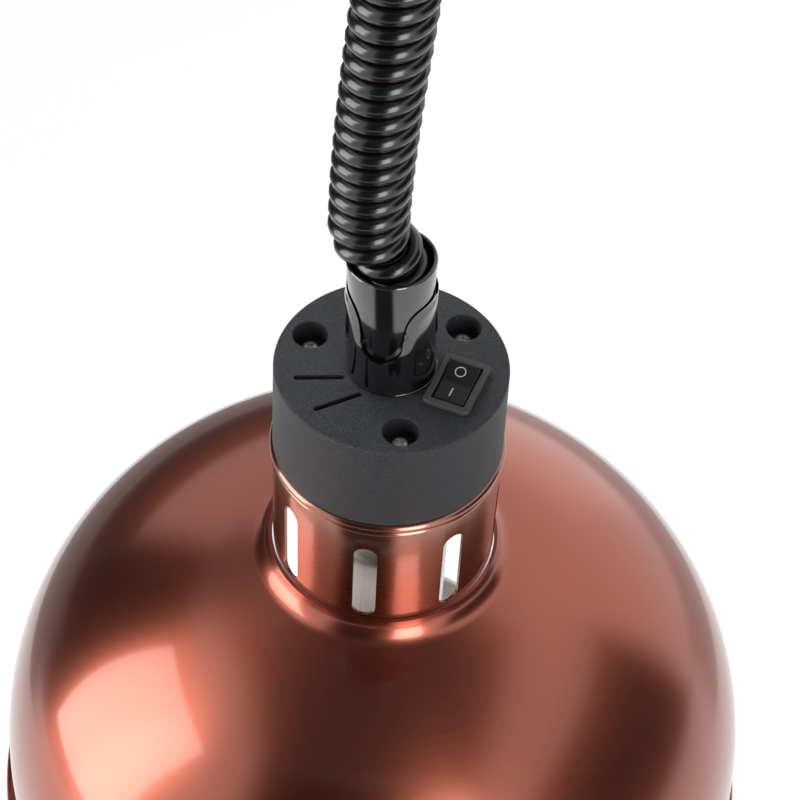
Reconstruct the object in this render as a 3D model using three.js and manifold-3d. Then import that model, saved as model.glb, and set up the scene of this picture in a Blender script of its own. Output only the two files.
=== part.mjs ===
// A ceiling-hung heat lamp: a spun copper-coloured shade under a black cap with a rocker switch,
// on a curly cord that draws it up to a ceiling canopy. Millimetres, +Z up, the ceiling at z = 0.
import * as THREE from "three";
import { mergeVertices } from "three/addons/utils/BufferGeometryUtils.js";
import Module from "manifold-3d";

const wasm = await Module();
wasm.setup();

// Gaps and cutters
const seatGap = 0.3; // between pieces that touch
const overrun = 1; // how far a cutter passes the faces it cuts

// Facets round a full turn
const shadeSides = 40;
const bodySides = 36;
const bulbSides = 24;
const smallSides = 20;
const screwSides = 12;
const wireSides = 5;
const hexSides = 6;

// Steps along an arc, a slot's end or a bend
const bevelSteps = 2;
const edgeSteps = 3;
const cornerSteps = 4;
const roundSteps = 6;
const sideSteps = 9;
const filamentSteps = 10;

// Cap, with its origin at the middle of its top face
const capTopRadius = 36;
const capDraft = 0.5; // how much wider the foot is
const capHeight = 33.3;
const capEdge = 1.2;
const capWall = 2.2;
const capRoof = 2.6;
const ventWidth = 1.8;
const ventFromRadius = 15.4;
const ventToRadius = 30.4;
const ventAngles = [
  { near: 204.7, far: 195.9 },
  { near: 235.3, far: 223.1 },
];

// The three screws that hold the cap down on the neck
const screwAngles = [-81.8, 38.2, 158.2];
const screwInset = 8.6; // from the cap's edge to the screw's axis
const counterboreRadius = 5.5;
const counterboreDepth = 7.4;
const postWall = 1.5;
const capScrewHeadRadius = 2.8;
const capScrewHead = 2;
const capScrewRadius = 1.5;
const capScrewTip = 2; // thread that shows under the plate
const crossWidth = 0.7;
const crossDepthShare = 0.6;

// Collar: a notched skirt round a sleeve with a flared mouth, both leaning a little
const collarLean = 1.6; // degrees, towards -X
const collarOffset = -0.3;
const skirtRadius = 13.85;
const skirtTopRadius = 13.7;
const skirtHeight = 33;
const skirtFoot = 0.6; // the small fillet at the foot
const notchAngle = -102;
const notchRadius = 6.4;
const notchStraight = 20; // where the notch's sides start to open out
const notchEarSpread = 6.2; // how far the shoulders swing out at the top
const sleeveRadius = 12.2;
const sleeveMouthRadius = 13.3;
const sleeveHeight = 44.7;
const sleeveFlareFrom = 24;
const sleeveWall = 1.2;
const sleeveFloor = 19;
const threadRadius = 9.8;
const threadLength = 14;
const threadClearance = 0.8;
const nutAcross = 23;
const nutHeight = 5;
const cordGripFlange = 2;

// Rocker switch, its long side square to the cap's radius
const switchAngle = -22.2;
const bezelWidth = 14.8;
const bezelLength = 21.2;
const bezelCorner = 1.6;
const bezelProud = 2;
const bezelRim = 1.7;
const switchBodyInset = 1.1;
const switchDepth = 17;
const switchWellDepth = 7;
const rockerClearance = 0.35;
const rockerThrow = 9; // degrees each way from level
const rockerFaceSlope = 7; // degrees, each half of the face
const rockerPivotDepth = 1.7; // below the bezel's top
const rockerWaist = 1.4; // from the pivot up to the dip between the two faces
const rockerBelly = 2.6;
const rockerBellyShare = 0.62;
const trunnionRadius = 0.8;
const trunnionReach = 0.7;
const terminalWidth = 4.8;
const terminalThickness = 0.8;
const terminalLength = 7;
const terminalSpacing = 10;
const terminalHoleRadius = 0.8;

// Neck of the shade
const neckProud = 0.2; // beyond the cap's foot
const neckWall = 0.9;
const neckBead = 1.75;
const neckBeadBulge = 0.7;
const neckHoleRadius = 21;
const slotCount = 8;
const slotAngle = -97.5;
const slotWidth = 7.5;
const slotHeight = 33.9;
const slotBelowCap = 12.2;
const seamBelowSlot = 1.5;
const neckTail = 9; // length inside the dome's lip

// Dome of the shade, an outline of one superellipse under a fillet
const domeRadius = 134.8;
const domeRise = 115;
const domeFullness = 2.27; // the superellipse's exponent
const domeWall = 1.2;
const domeSkirt = 17;
const domeLip = 0.5;
const domeShoulder = 5.8; // from the lip out to the end of the fillet
const rimBead = 2.5;

// Plate and lampholder inside the neck
const plateThickness = 1.5;
const plateRim = 5;
const plateClearance = 0.5;
const holderRadius = 21;
const holderHeight = 27;
const holderFloor = 6.5;
const holderChamfer = 1.5;
const holderScrewSpacing = 32;
const holderScrewRadius = 2;
const holderScrewHeadRadius = 3.6;
const holderScrewHead = 2.4;
const holderScrewBite = 5;
const shellWall = 0.7;
const shellHoleRadius = 5;
const springThickness = 0.6;
const earthScrewRadius = 15.5; // from the axis to the earth screw
const earthScrewAngle = 225;
const wireHoleRadius = 2.2;
const wireHoleSpacing = 24;

// Reflector bulb
const bulbCapRadius = 13.2;
const bulbCapLength = 21.5;
const bulbCapTaper = 1.6;
const bulbContactRadius = 4.2;
const bulbContactHeight = 0.9;
const bulbInsulatorHeight = 2.5;
const bulbNeckRadius = 21.6;
const bulbNeckLength = 48;
const bulbShoulder = 5;
const bulbRadius = 62.5;
const bulbLength = 139; // glass alone
const bulbFace = 22; // from the widest ring down to the face
const bulbFaceRadius = 51;
const bulbFaceCrown = 4;
const bulbGlass = 1.2;
const stemRadius = 4;
const stemFlareRadius = 10.5;
const stemLength = 46;
const filamentRadius = 14;
const filamentWire = 0.9;
const filamentDrop = 34;
const filamentOpening = 50; // degrees left open between the two leads

// Curly cord
const cordDiameter = 5.4;
const coilRadius = 9.1; // to the cord's middle
const coilGap = 0.52; // between one curl and the next
const coilTurns = 28;
const coilPhase = 9.3; // degrees, where the first curl starts
const leadTurns = 0.75; // in which the cord swings out from the middle
const leadRise = 9;
const mouthTurns = 1.2; // curls that lie inside the sleeve
const mouthCoilRadius = 8.3;
const mouthOffset = -1.2;
const bendTurns = 1.84;
const bendSpread = 0.4; // extra rise of each curl in the bend
const bendTilt = 10.6; // degrees
const stackOffset = -8.5;
const cordSteps = 8; // to a curl
const cordSides = 5;

// Wires, inside the head and the canopy
const wireRadius = 1;
const wireCircle = 2.1;
const wireLead = 7;
const wireSteps = 8;

// Ceiling canopy
const canopyRadius = 55;
const canopyHeight = 34;
const canopyWall = 1.2;
const canopyCorner = 9;
const ceilingPlateThickness = 2;
const tabWidth = 14;
const tabDrop = 13;
const tabThickness = 2;
const fixingRadius = 2.3;
const fixingSpacing = 60;
const fixingSlide = 6;
const entryRadius = 9;
const entryOffset = 26;
const canopyScrewRadius = 1.5;
const canopyScrewHeadRadius = 3.1;
const canopyScrewHead = 2.2;
const canopyScrewLength = 8;
const blockWidth = 32;
const blockDepth = 17;
const blockHeight = 13;
const blockOffset = -24;
const blockRidge = 2.5;
const glandRadius = 6.2;
const glandFlangeRadius = 11;
const glandFlange = 2.5;
const glandTipRadius = 4.6;
const glandTaper = 20;
const glandThread = 9;
const glandNutAcross = 19;
const glandNutHeight = 4;

// Sizes that follow from those above, in the head's frame where the cap's top face is at height 0
const radians = THREE.MathUtils.degToRad;
const capBaseRadius = capTopRadius + capDraft;
const screwCircle = capTopRadius - screwInset;
const postRadius = counterboreRadius + postWall;
const cordRadius = cordDiameter / 2;
const coilPitch = cordDiameter + coilGap;
const switchRadius = skirtRadius + seatGap + bezelWidth / 2;
const wellWidth = bezelWidth - 2 * bezelRim;
const wellLength = bezelLength - 2 * bezelRim - 2 * seatGap;
const switchBodyWidth = bezelWidth - 2 * switchBodyInset;
const switchBodyLength = bezelLength - 2 * switchBodyInset;
const rockerPivotHeight = bezelProud - rockerPivotDepth;
const switchFoot = -switchDepth;
const neckTop = -capHeight - seatGap;
const neckRadius = capBaseRadius + neckProud;
const slotTop = -capHeight - slotBelowCap;
const slotFoot = slotTop - slotHeight;
const domeTop = slotFoot - seamBelowSlot;
const lipRadius = neckRadius + seatGap + domeWall;
const plateTop = neckTop - neckWall - seatGap;
const plateFoot = plateTop - plateThickness;
const plateRadius = neckRadius - neckWall - plateClearance;
const holderTop = plateFoot - seatGap;
const holderFoot = holderTop - holderHeight;
const shellInnerRadius = bulbCapRadius + seatGap;
const shellRadius = shellInnerRadius + shellWall;
const shellTop = holderTop - holderFloor - seatGap;
const contactTop = shellTop - springThickness - seatGap;
const insulatorTop = contactTop - bulbContactHeight - seatGap;
const bulbCapTop = insulatorTop - bulbInsulatorHeight - seatGap;
const bulbCapFoot = bulbCapTop - bulbCapLength;
const glassTop = bulbCapFoot - seatGap;
const bulbFoot = glassTop - bulbLength;
const earthScrewTop = plateTop + seatGap + holderScrewHead;
const sleeveSeat = 2 * seatGap + skirtRadius * Math.sin(radians(collarLean));
const cordGripTop = sleeveFloor + cordGripFlange + seatGap;
const coilFoot = cordGripTop + seatGap + cordDiameter;
const coilTop = coilFoot + 2 * leadRise + coilPitch * coilTurns + bendSpread * bendTurns;
const cordTop = coilTop + cordDiameter;
const glandTip = cordTop + seatGap;
const ceilingHeight = glandTip + glandTaper + glandFlange + seatGap + canopyHeight;

// Colours and surfaces
const finishes = {
  copper: { color: 0x965f50, roughness: 0.32, metalness: 0.9 },
  mattBlack: { color: 0x2c2e31, roughness: 0.8, metalness: 0 },
  glossBlack: { color: 0x121214, roughness: 0.2, metalness: 0 },
  switchBlack: { color: 0x1c1d20, roughness: 0.45, metalness: 0 },
  cord: { color: 0x16171a, roughness: 0.35, metalness: 0 },
  zinc: { color: 0xb9bcbe, roughness: 0.35, metalness: 1 },
  steel: { color: 0x9a9da0, roughness: 0.4, metalness: 1 },
  brass: { color: 0xb8944a, roughness: 0.35, metalness: 1 },
  ceramic: { color: 0xe6e2d8, roughness: 0.3, metalness: 0 },
  glass: { color: 0xc9ccce, roughness: 0.15, metalness: 0.6 },
  tungsten: { color: 0x5b5b60, roughness: 0.5, metalness: 1 },
  brown: { color: 0x6b3d22, roughness: 0.5, metalness: 0 },
  blue: { color: 0x2b4f9a, roughness: 0.5, metalness: 0 },
  green: { color: 0x3f7d3a, roughness: 0.5, metalness: 0 },
};

const lamp = new THREE.Group();
const head = new THREE.Group();
head.position.z = -ceilingHeight;
lamp.add(head);

function addPiece(group, name, geometry, finish) {
  const piece = new THREE.Mesh(geometry, new THREE.MeshStandardMaterial(finishes[finish]));
  piece.name = name;
  group.add(piece);
  return piece;
}

// Booleans on closed geometries
function toSolid(geometry) {
  const bare = geometry.clone();
  bare.deleteAttribute("normal");
  bare.deleteAttribute("uv");
  const merged = mergeVertices(bare);
  const mesh = new wasm.Mesh({
    numProp: 3,
    vertProperties: merged.attributes.position.array,
    triVerts: new Uint32Array(merged.index.array),
  });
  return new wasm.Manifold(mesh);
}

function toGeometry(solid) {
  const mesh = solid.getMesh();
  const geometry = new THREE.BufferGeometry();
  geometry.setAttribute("position", new THREE.BufferAttribute(mesh.vertProperties, mesh.numProp));
  geometry.setIndex(new THREE.BufferAttribute(mesh.triVerts, 1));
  geometry.computeVertexNormals();
  return geometry;
}

function join(...geometries) {
  return toGeometry(geometries.map(toSolid).reduce((whole, part) => whole.add(part)));
}

function cut(geometry, cutters) {
  return toGeometry(cutters.map(toSolid).reduce((whole, part) => whole.subtract(part), toSolid(geometry)));
}

// Basic forms

const at = (x, y) => new THREE.Vector2(x, y);

function polar(radius, degrees) {
  return at(radius * Math.cos(radians(degrees)), radius * Math.sin(radians(degrees)));
}

function arc(centre, radius, fromDegrees, toDegrees, steps) {
  const points = [];
  for (let step = 0; step <= steps; step++) {
    const degrees = fromDegrees + ((toDegrees - fromDegrees) * step) / steps;
    points.push(polar(radius, degrees).add(centre));
  }
  return points;
}

// An outline of (radius, height) points turned about the Z axis.
// One that does not touch the axis is closed.
function revolve(outline, sides) {
  const points = THREE.ShapeUtils.area(outline) < 0 ? [...outline].reverse() : [...outline];
  if (points[0].x > 0) points.push(points[0].clone());
  return new THREE.LatheGeometry(points, sides).rotateX(Math.PI / 2);
}

// The outline of a wall of even thickness, to the left of a line of points.
function wallBehind(line, wall) {
  const back = line.map((point, index) => {
    const before = line[Math.max(index - 1, 0)];
    const after = line[Math.min(index + 1, line.length - 1)];
    const arriving = (index > 0 ? point.clone().sub(before) : after.clone().sub(point)).normalize();
    const leaving = (index < line.length - 1 ? after.clone().sub(point) : arriving.clone()).normalize();
    const reach = wall / (1 + arriving.dot(leaving));
    return at(point.x - (arriving.y + leaving.y) * reach, point.y + (arriving.x + leaving.x) * reach);
  });
  return [...line, ...back.reverse()];
}

function rod(radius, fromHeight, toHeight, sides, place = at(0, 0)) {
  const geometry = new THREE.CylinderGeometry(radius, radius, toHeight - fromHeight, sides);
  return geometry.rotateX(Math.PI / 2).translate(place.x, place.y, (fromHeight + toHeight) / 2);
}

function block(width, depth, fromHeight, toHeight, place = at(0, 0)) {
  const geometry = new THREE.BoxGeometry(width, depth, toHeight - fromHeight);
  return geometry.translate(place.x, place.y, (fromHeight + toHeight) / 2);
}

function prism(shape, fromHeight, toHeight, curveSegments) {
  const settings = { depth: toHeight - fromHeight, bevelEnabled: false, curveSegments };
  return new THREE.ExtrudeGeometry(shape, settings).translate(0, 0, fromHeight);
}

function roundedRectangle(width, length, corner) {
  const x = width / 2 - corner;
  const y = length / 2 - corner;
  const shape = new THREE.Shape();
  shape.absarc(x, y, corner, 0, Math.PI / 2);
  shape.absarc(-x, y, corner, Math.PI / 2, Math.PI);
  shape.absarc(-x, -y, corner, Math.PI, (3 * Math.PI) / 2);
  shape.absarc(x, -y, corner, (3 * Math.PI) / 2, 2 * Math.PI);
  return shape;
}

// A slot with round ends, from one end's centre to the other's.
function slotShape(from, to, width) {
  const along = Math.atan2(to.y - from.y, to.x - from.x);
  const shape = new THREE.Shape();
  shape.absarc(to.x, to.y, width / 2, along - Math.PI / 2, along + Math.PI / 2);
  shape.absarc(from.x, from.y, width / 2, along + Math.PI / 2, along + (3 * Math.PI) / 2);
  return shape;
}

function hexagon(across) {
  const corners = [];
  for (let corner = 0; corner < hexSides; corner++) {
    corners.push(polar(across / Math.sqrt(3), (360 * corner) / hexSides));
  }
  return new THREE.Shape(corners);
}

function nutGeometry(across, boreRadius, fromHeight, toHeight) {
  const bore = rod(boreRadius, fromHeight - overrun, toHeight + overrun, smallSides);
  return cut(prism(hexagon(across), fromHeight, toHeight), [bore]);
}

// A screw that points down, with its head's foot at height 0.
function screwGeometry(headRadius, headHeight, shankRadius, shankLength) {
  const outline = [
    at(0, -shankLength),
    at(shankRadius, -shankLength),
    at(shankRadius, 0),
    at(headRadius, 0),
    at(headRadius - headHeight / 3, headHeight),
    at(0, headHeight),
  ];
  return revolve(outline, screwSides);
}

function crossRecess(headRadius, headHeight) {
  const heights = [headHeight * (1 - crossDepthShare), headHeight + overrun];
  return [block(headRadius, crossWidth, ...heights), block(crossWidth, headRadius, ...heights)];
}

// The cap: a drafted shell with three screw posts, two vents and the switch's cut-out

function inSwitchPlace(geometry) {
  const place = polar(switchRadius, switchAngle);
  return geometry.rotateZ(radians(switchAngle)).translate(place.x, place.y, 0);
}

function capGeometry() {
  const wallTopRadius = capTopRadius - capWall;
  const mouthRadius = threadRadius + threadClearance;
  const shell = revolve(
    [
      at(mouthRadius, 0),
      at(mouthRadius, -capRoof),
      at(wallTopRadius, -capRoof),
      at(capBaseRadius - capWall, -capHeight),
      at(capBaseRadius, -capHeight),
      ...arc(at(capTopRadius - capEdge, -capEdge), capEdge, 0, 90, bevelSteps),
    ],
    bodySides,
  );
  const places = screwAngles.map((angle) => polar(screwCircle, angle));
  const posts = places.map((place) => rod(postRadius, -capHeight, -capRoof / 2, smallSides, place));
  const cutters = places.flatMap((place) => [
    rod(counterboreRadius, -counterboreDepth, overrun, smallSides, place),
    rod(capScrewRadius + seatGap, -capHeight - overrun, 0, screwSides, place),
  ]);
  for (const { near, far } of ventAngles) {
    const inset = ventWidth / 2;
    const inner = polar(ventFromRadius + inset, near);
    const outer = polar(ventToRadius - inset, far);
    const vent = slotShape(inner, outer, ventWidth);
    cutters.push(prism(vent, -capRoof - overrun, overrun, roundSteps));
  }
  const window = [switchBodyWidth + 2 * seatGap, switchBodyLength + 2 * seatGap];
  cutters.push(inSwitchPlace(block(...window, -capRoof - overrun, overrun)));
  return cut(join(shell, ...posts), cutters);
}

addPiece(head, "head_cap", capGeometry(), "mattBlack");

screwAngles.forEach((angle, index) => {
  const place = polar(screwCircle, angle);
  const seat = -counterboreDepth + seatGap;
  const shank = seat - plateFoot + capScrewTip;
  const blank = screwGeometry(capScrewHeadRadius, capScrewHead, capScrewRadius, shank);
  const screw = cut(blank, crossRecess(capScrewHeadRadius, capScrewHead));
  addPiece(head, `cap_screw_${index + 1}`, screw.translate(place.x, place.y, seat), "zinc");
});

// The collar: everything in it leans with the cord

const collar = new THREE.Group();
collar.rotation.y = -radians(collarLean);
collar.position.x = collarOffset;
head.add(collar);

function sleeveOuterRadius(height) {
  const share = Math.max(0, (height - sleeveFlareFrom) / (sleeveHeight - sleeveFlareFrom));
  return sleeveRadius + (sleeveMouthRadius - sleeveRadius) * share;
}

function sleeveGeometry() {
  const boreRadius = sleeveRadius - sleeveWall;
  const throatRadius = threadRadius - sleeveWall;
  const lip = sleeveWall / 2;
  return revolve(
    [
      at(threadRadius, -threadLength),
      at(threadRadius, sleeveSeat),
      at(sleeveRadius, sleeveSeat),
      at(sleeveRadius, sleeveFlareFrom),
      ...arc(at(sleeveMouthRadius - lip, sleeveHeight - lip), lip, 0, 180, edgeSteps),
      at(boreRadius, sleeveFlareFrom),
      at(boreRadius, sleeveFloor),
      at(throatRadius, sleeveFloor),
      at(throatRadius, -threadLength),
    ],
    bodySides,
  );
}

addPiece(collar, "cord_sleeve", sleeveGeometry(), "glossBlack");

// The notch is a U whose sides swing out into rounded ears at the skirt's top.
function notchCutter() {
  const top = skirtHeight + overrun;
  const wide = notchRadius + notchEarSpread;
  const shape = new THREE.Shape();
  shape.moveTo(wide, top);
  shape.lineTo(-wide, top);
  shape.lineTo(-wide, skirtHeight);
  shape.quadraticCurveTo(-notchRadius - seatGap, skirtHeight, -notchRadius, notchStraight);
  shape.absarc(0, notchStraight, notchRadius, Math.PI, 2 * Math.PI);
  shape.quadraticCurveTo(notchRadius + seatGap, skirtHeight, wide, skirtHeight);
  const reach = skirtRadius + overrun;
  const settings = { depth: 2 * reach, bevelEnabled: false, curveSegments: 8 };
  const cutter = new THREE.ExtrudeGeometry(shape, settings).translate(0, 0, -reach);
  return cutter.rotateX(Math.PI / 2).rotateZ(radians(notchAngle + 90));
}

function skirtGeometry() {
  const innerRadius = sleeveRadius + seatGap;
  const innerTopRadius = sleeveOuterRadius(skirtHeight) + seatGap;
  const ring = revolve(
    [
      at(innerRadius, -overrun),
      at(skirtRadius + skirtFoot, -overrun),
      at(skirtRadius + skirtFoot, 0),
      at(skirtRadius, 2 * skirtFoot),
      at(skirtTopRadius, skirtHeight),
      at(innerTopRadius, skirtHeight),
      at(innerRadius, sleeveFlareFrom),
    ],
    bodySides,
  );
  // The foot is cut level, so that it stands flat on the cap although the collar leans.
  const deep = overrun + skirtRadius * Math.tan(radians(collarLean)) + seatGap;
  const wide = 4 * skirtRadius;
  const ground = block(wide, wide, -2 * deep, seatGap).rotateY(radians(collarLean));
  return cut(ring, [notchCutter(), ground]);
}

addPiece(collar, "collar_skirt", skirtGeometry(), "glossBlack");

function cordGripGeometry() {
  const flangeRadius = sleeveRadius - sleeveWall - seatGap;
  const plugRadius = threadRadius - sleeveWall - seatGap;
  return revolve(
    [
      at(0, -threadLength),
      at(plugRadius, -threadLength),
      at(plugRadius, sleeveFloor + seatGap),
      at(flangeRadius, sleeveFloor + seatGap),
      at(flangeRadius, cordGripTop),
      at(0, cordGripTop),
    ],
    smallSides,
  );
}

addPiece(collar, "cord_grip", cordGripGeometry(), "mattBlack");

const nutTop = -capRoof - seatGap;
const sleeveNut = nutGeometry(nutAcross, threadRadius + threadClearance, nutTop - nutHeight, nutTop);
addPiece(head, "sleeve_nut", sleeveNut, "zinc");

// The rocker switch. In its own frame X points out along the cap's radius and Y along the long side.

const rocker = new THREE.Group();
rocker.rotation.z = radians(switchAngle);
rocker.position.set(...polar(switchRadius, switchAngle).toArray(), 0);
head.add(rocker);

function switchHousingGeometry() {
  const bezel = prism(roundedRectangle(bezelWidth, bezelLength, bezelCorner), seatGap, bezelProud, cornerSteps);
  const body = block(switchBodyWidth, switchBodyLength, switchFoot, (seatGap + bezelProud) / 2);
  const well = block(wellWidth, wellLength, -switchWellDepth, bezelProud + overrun);
  const boreRadius = trunnionRadius + seatGap;
  const bore = new THREE.CylinderGeometry(boreRadius, boreRadius, bezelWidth - bezelRim, screwSides);
  bore.rotateZ(Math.PI / 2).translate(0, 0, rockerPivotHeight);
  return cut(join(bezel, body), [well, bore]);
}

addPiece(rocker, "switch_housing", switchHousingGeometry(), "switchBlack");

// The rocker's side view has its pivot at (0, 0); its ends are arcs about that pivot.
function rockerGeometry() {
  const reach = wellLength / 2 - rockerClearance;
  const width = wellWidth - 2 * rockerClearance;
  const slope = radians(rockerFaceSlope);
  const cornerAngle = THREE.MathUtils.radToDeg(Math.asin((rockerWaist * Math.cos(slope)) / reach) + slope);
  const bellyAngle = -THREE.MathUtils.radToDeg(Math.asin(rockerBelly / reach));
  const farEnd = arc(at(0, 0), reach, bellyAngle / 2, cornerAngle, cornerSteps);
  const nearEnd = farEnd.map((corner) => at(-corner.x, corner.y)).reverse();
  const belly = reach * rockerBellyShare;
  const foot = [at(-belly, -rockerBelly), at(belly, -rockerBelly)];
  const side = new THREE.Shape([...farEnd, at(0, rockerWaist), ...nearEnd, ...foot]);
  const body = prism(side, -width / 2, width / 2).rotateX(Math.PI / 2).rotateZ(Math.PI / 2);
  const axleLength = width + 2 * trunnionReach;
  const axle = new THREE.CylinderGeometry(trunnionRadius, trunnionRadius, axleLength, screwSides);
  return join(body, axle.rotateZ(Math.PI / 2));
}

const rockerPiece = addPiece(rocker, "switch_rocker", rockerGeometry(), "switchBlack");
rockerPiece.position.z = rockerPivotHeight;
rockerPiece.rotation.x = radians(rockerThrow);

const terminalPlaces = [terminalSpacing / 2, -terminalSpacing / 2];
const terminalTop = switchFoot - seatGap;
terminalPlaces.forEach((place, index) => {
  const blade = new THREE.Shape();
  const shoulder = terminalWidth / 4;
  blade.moveTo(-terminalWidth / 2, terminalTop);
  blade.lineTo(-terminalWidth / 2, terminalTop - terminalLength + shoulder);
  blade.lineTo(-shoulder, terminalTop - terminalLength);
  blade.lineTo(shoulder, terminalTop - terminalLength);
  blade.lineTo(terminalWidth / 2, terminalTop - terminalLength + shoulder);
  blade.lineTo(terminalWidth / 2, terminalTop);
  const hole = new THREE.Path();
  hole.absarc(0, terminalTop - terminalLength / 2, terminalHoleRadius, 0, 2 * Math.PI);
  blade.holes.push(hole);
  const plate = prism(blade, -terminalThickness / 2, terminalThickness / 2, roundSteps);
  const geometry = plate.rotateX(Math.PI / 2);
  addPiece(rocker, `switch_terminal_${index + 1}`, geometry.translate(0, place, 0), "brass");
});

// The shade: a slotted neck, telescoped into the lip of the dome

function neckGeometry() {
  const beadCentre = at(neckRadius + neckBeadBulge - neckBead, neckTop - neckBead);
  const crease = -THREE.MathUtils.radToDeg(Math.acos((neckRadius - beadCentre.x) / neckBead));
  const line = [
    at(neckRadius, domeTop - neckTail),
    ...arc(beadCentre, neckBead, crease, 90, cornerSteps),
    at(neckHoleRadius, neckTop),
  ];
  const tube = revolve(wallBehind(line, neckWall), shadeSides);
  const slot = slotShape(at(0, slotFoot + slotWidth / 2), at(0, slotTop - slotWidth / 2), slotWidth);
  const depth = neckRadius - holderRadius + overrun;
  const cutters = [];
  for (let index = 0; index < slotCount; index++) {
    const angle = slotAngle + (360 * index) / slotCount;
    const hole = prism(slot, holderRadius, holderRadius + depth, cornerSteps);
    const cutter = hole.rotateX(Math.PI / 2);
    cutters.push(cutter.rotateZ(radians(angle + 90)));
  }
  const through = [neckTop - neckWall - overrun, neckTop + overrun, screwSides];
  for (const angle of screwAngles) {
    cutters.push(rod(capScrewRadius + seatGap, ...through, polar(screwCircle, angle)));
  }
  return cut(tube, cutters);
}

addPiece(head, "shade_neck", neckGeometry(), "copper");

// Height above the superellipse's widest ring, and its slope, at a radius.
function domeHeight(radius) {
  return domeRise * (1 - (radius / domeRadius) ** domeFullness) ** (1 / domeFullness);
}

function domeSlope(radius) {
  const share = radius / domeRadius;
  const rest = 1 - share ** domeFullness;
  return (domeRise / domeRadius) * rest ** (1 / domeFullness - 1) * share ** (domeFullness - 1);
}

// The dome's outer line, from the rolled rim up to the lip.
function domeLine() {
  const shoulderRadius = lipRadius + domeShoulder;
  const slope = Math.atan(domeSlope(shoulderRadius));
  const fillet = domeShoulder / (1 - Math.sin(slope));
  const filletTop = domeTop - domeLip;
  const shoulderHeight = filletTop - fillet * Math.cos(slope);
  const widest = shoulderHeight - domeHeight(shoulderRadius);
  const rimCentre = at(domeRadius - domeWall + rimBead, widest - domeSkirt);
  const meeting = THREE.MathUtils.radToDeg(Math.acos((domeWall - rimBead) / rimBead));
  const bead = arc(rimCentre, rimBead, -180, meeting, roundSteps);
  const side = [];
  for (let step = 0; step <= sideSteps; step++) {
    const lift = ((Math.PI / 2) * step) / sideSteps;
    const radius = domeRadius * Math.cos(lift) ** (2 / domeFullness);
    if (radius > shoulderRadius + domeShoulder / 2) side.push(at(radius, widest + domeHeight(radius)));
  }
  const slopeDegrees = THREE.MathUtils.radToDeg(slope);
  const filletArc = arc(at(lipRadius + fillet, filletTop), fillet, 270 - slopeDegrees, 180, edgeSteps);
  return { bead, side: [...side, ...filletArc, at(lipRadius, domeTop)] };
}

function domeGeometry() {
  const { bead, side } = domeLine();
  const wall = wallBehind(side, domeWall);
  return revolve([...bead, ...wall], shadeSides);
}

addPiece(head, "shade_dome", domeGeometry(), "copper");

// The plate under the neck's turned-in top, and the lampholder that it carries

function screwHolePlaces() {
  return [at(holderScrewSpacing / 2, 0), at(-holderScrewSpacing / 2, 0)];
}

function wireHolePlaces() {
  return [at(0, -wireHoleSpacing / 2), at(0, wireHoleSpacing / 2)];
}

function holderPlateGeometry() {
  const disc = rod(plateRadius, plateFoot, plateTop, bodySides);
  const rim = revolve(
    [
      at(plateRadius, plateTop),
      at(plateRadius, plateFoot - plateRim),
      at(plateRadius - plateThickness, plateFoot - plateRim),
      at(plateRadius - plateThickness, plateTop),
    ],
    bodySides,
  );
  const through = [plateFoot - overrun, plateTop + overrun, screwSides];
  const cutters = [
    ...screwAngles.map((angle) => rod(capScrewRadius + seatGap, ...through, polar(screwCircle, angle))),
    ...screwHolePlaces().map((place) => rod(holderScrewRadius + seatGap, ...through, place)),
    ...wireHolePlaces().map((place) => rod(wireHoleRadius, ...through, place)),
    rod(holderScrewRadius + seatGap, ...through, polar(earthScrewRadius, earthScrewAngle)),
  ];
  return cut(join(disc, rim), cutters);
}

addPiece(head, "holder_plate", holderPlateGeometry(), "steel");

function holderBodyGeometry() {
  const boreRadius = shellRadius + seatGap;
  const cup = revolve(
    [
      at(0, holderTop),
      at(holderRadius - holderChamfer, holderTop),
      at(holderRadius, holderTop - holderChamfer),
      at(holderRadius, holderFoot + holderChamfer),
      at(holderRadius - holderChamfer, holderFoot),
      at(boreRadius, holderFoot),
      at(boreRadius, holderTop - holderFloor),
      at(0, holderTop - holderFloor),
    ],
    bulbSides,
  );
  const pocketRadius = holderScrewRadius + seatGap;
  const pocketFoot = holderTop - holderScrewBite - seatGap;
  const pockets = screwHolePlaces().map((place) => {
    return rod(pocketRadius, pocketFoot, holderTop + overrun, screwSides, place);
  });
  return cut(cup, pockets);
}

addPiece(head, "lampholder_body", holderBodyGeometry(), "ceramic");

function holderShellGeometry() {
  const foot = holderFoot + holderChamfer;
  const line = [at(shellRadius, foot), at(shellRadius, shellTop), at(shellHoleRadius, shellTop)];
  return revolve(wallBehind(line, shellWall), bulbSides);
}

addPiece(head, "lampholder_shell", holderShellGeometry(), "brass");

const springRadius = shellHoleRadius - seatGap;
const spring = rod(springRadius, shellTop - springThickness, shellTop, smallSides);
addPiece(head, "lampholder_contact", spring, "brass");

screwHolePlaces().forEach((place, index) => {
  const seat = plateTop + seatGap;
  const shank = seat - holderTop + holderScrewBite;
  const screw = screwGeometry(holderScrewHeadRadius, holderScrewHead, holderScrewRadius, shank);
  addPiece(head, `holder_screw_${index + 1}`, screw.translate(place.x, place.y, seat), "zinc");
});

const earthPlace = polar(earthScrewRadius, earthScrewAngle);
const earthShank = plateThickness + seatGap;
const earthScrew = screwGeometry(holderScrewHeadRadius, holderScrewHead, holderScrewRadius, earthShank);
addPiece(head, "earth_screw", earthScrew.translate(earthPlace.x, earthPlace.y, plateTop + seatGap), "zinc");

// The reflector bulb, screwed up into the lampholder

const bulbContact = rod(bulbContactRadius, contactTop - bulbContactHeight, contactTop, smallSides);
addPiece(head, "bulb_contact", bulbContact, "brass");

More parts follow.
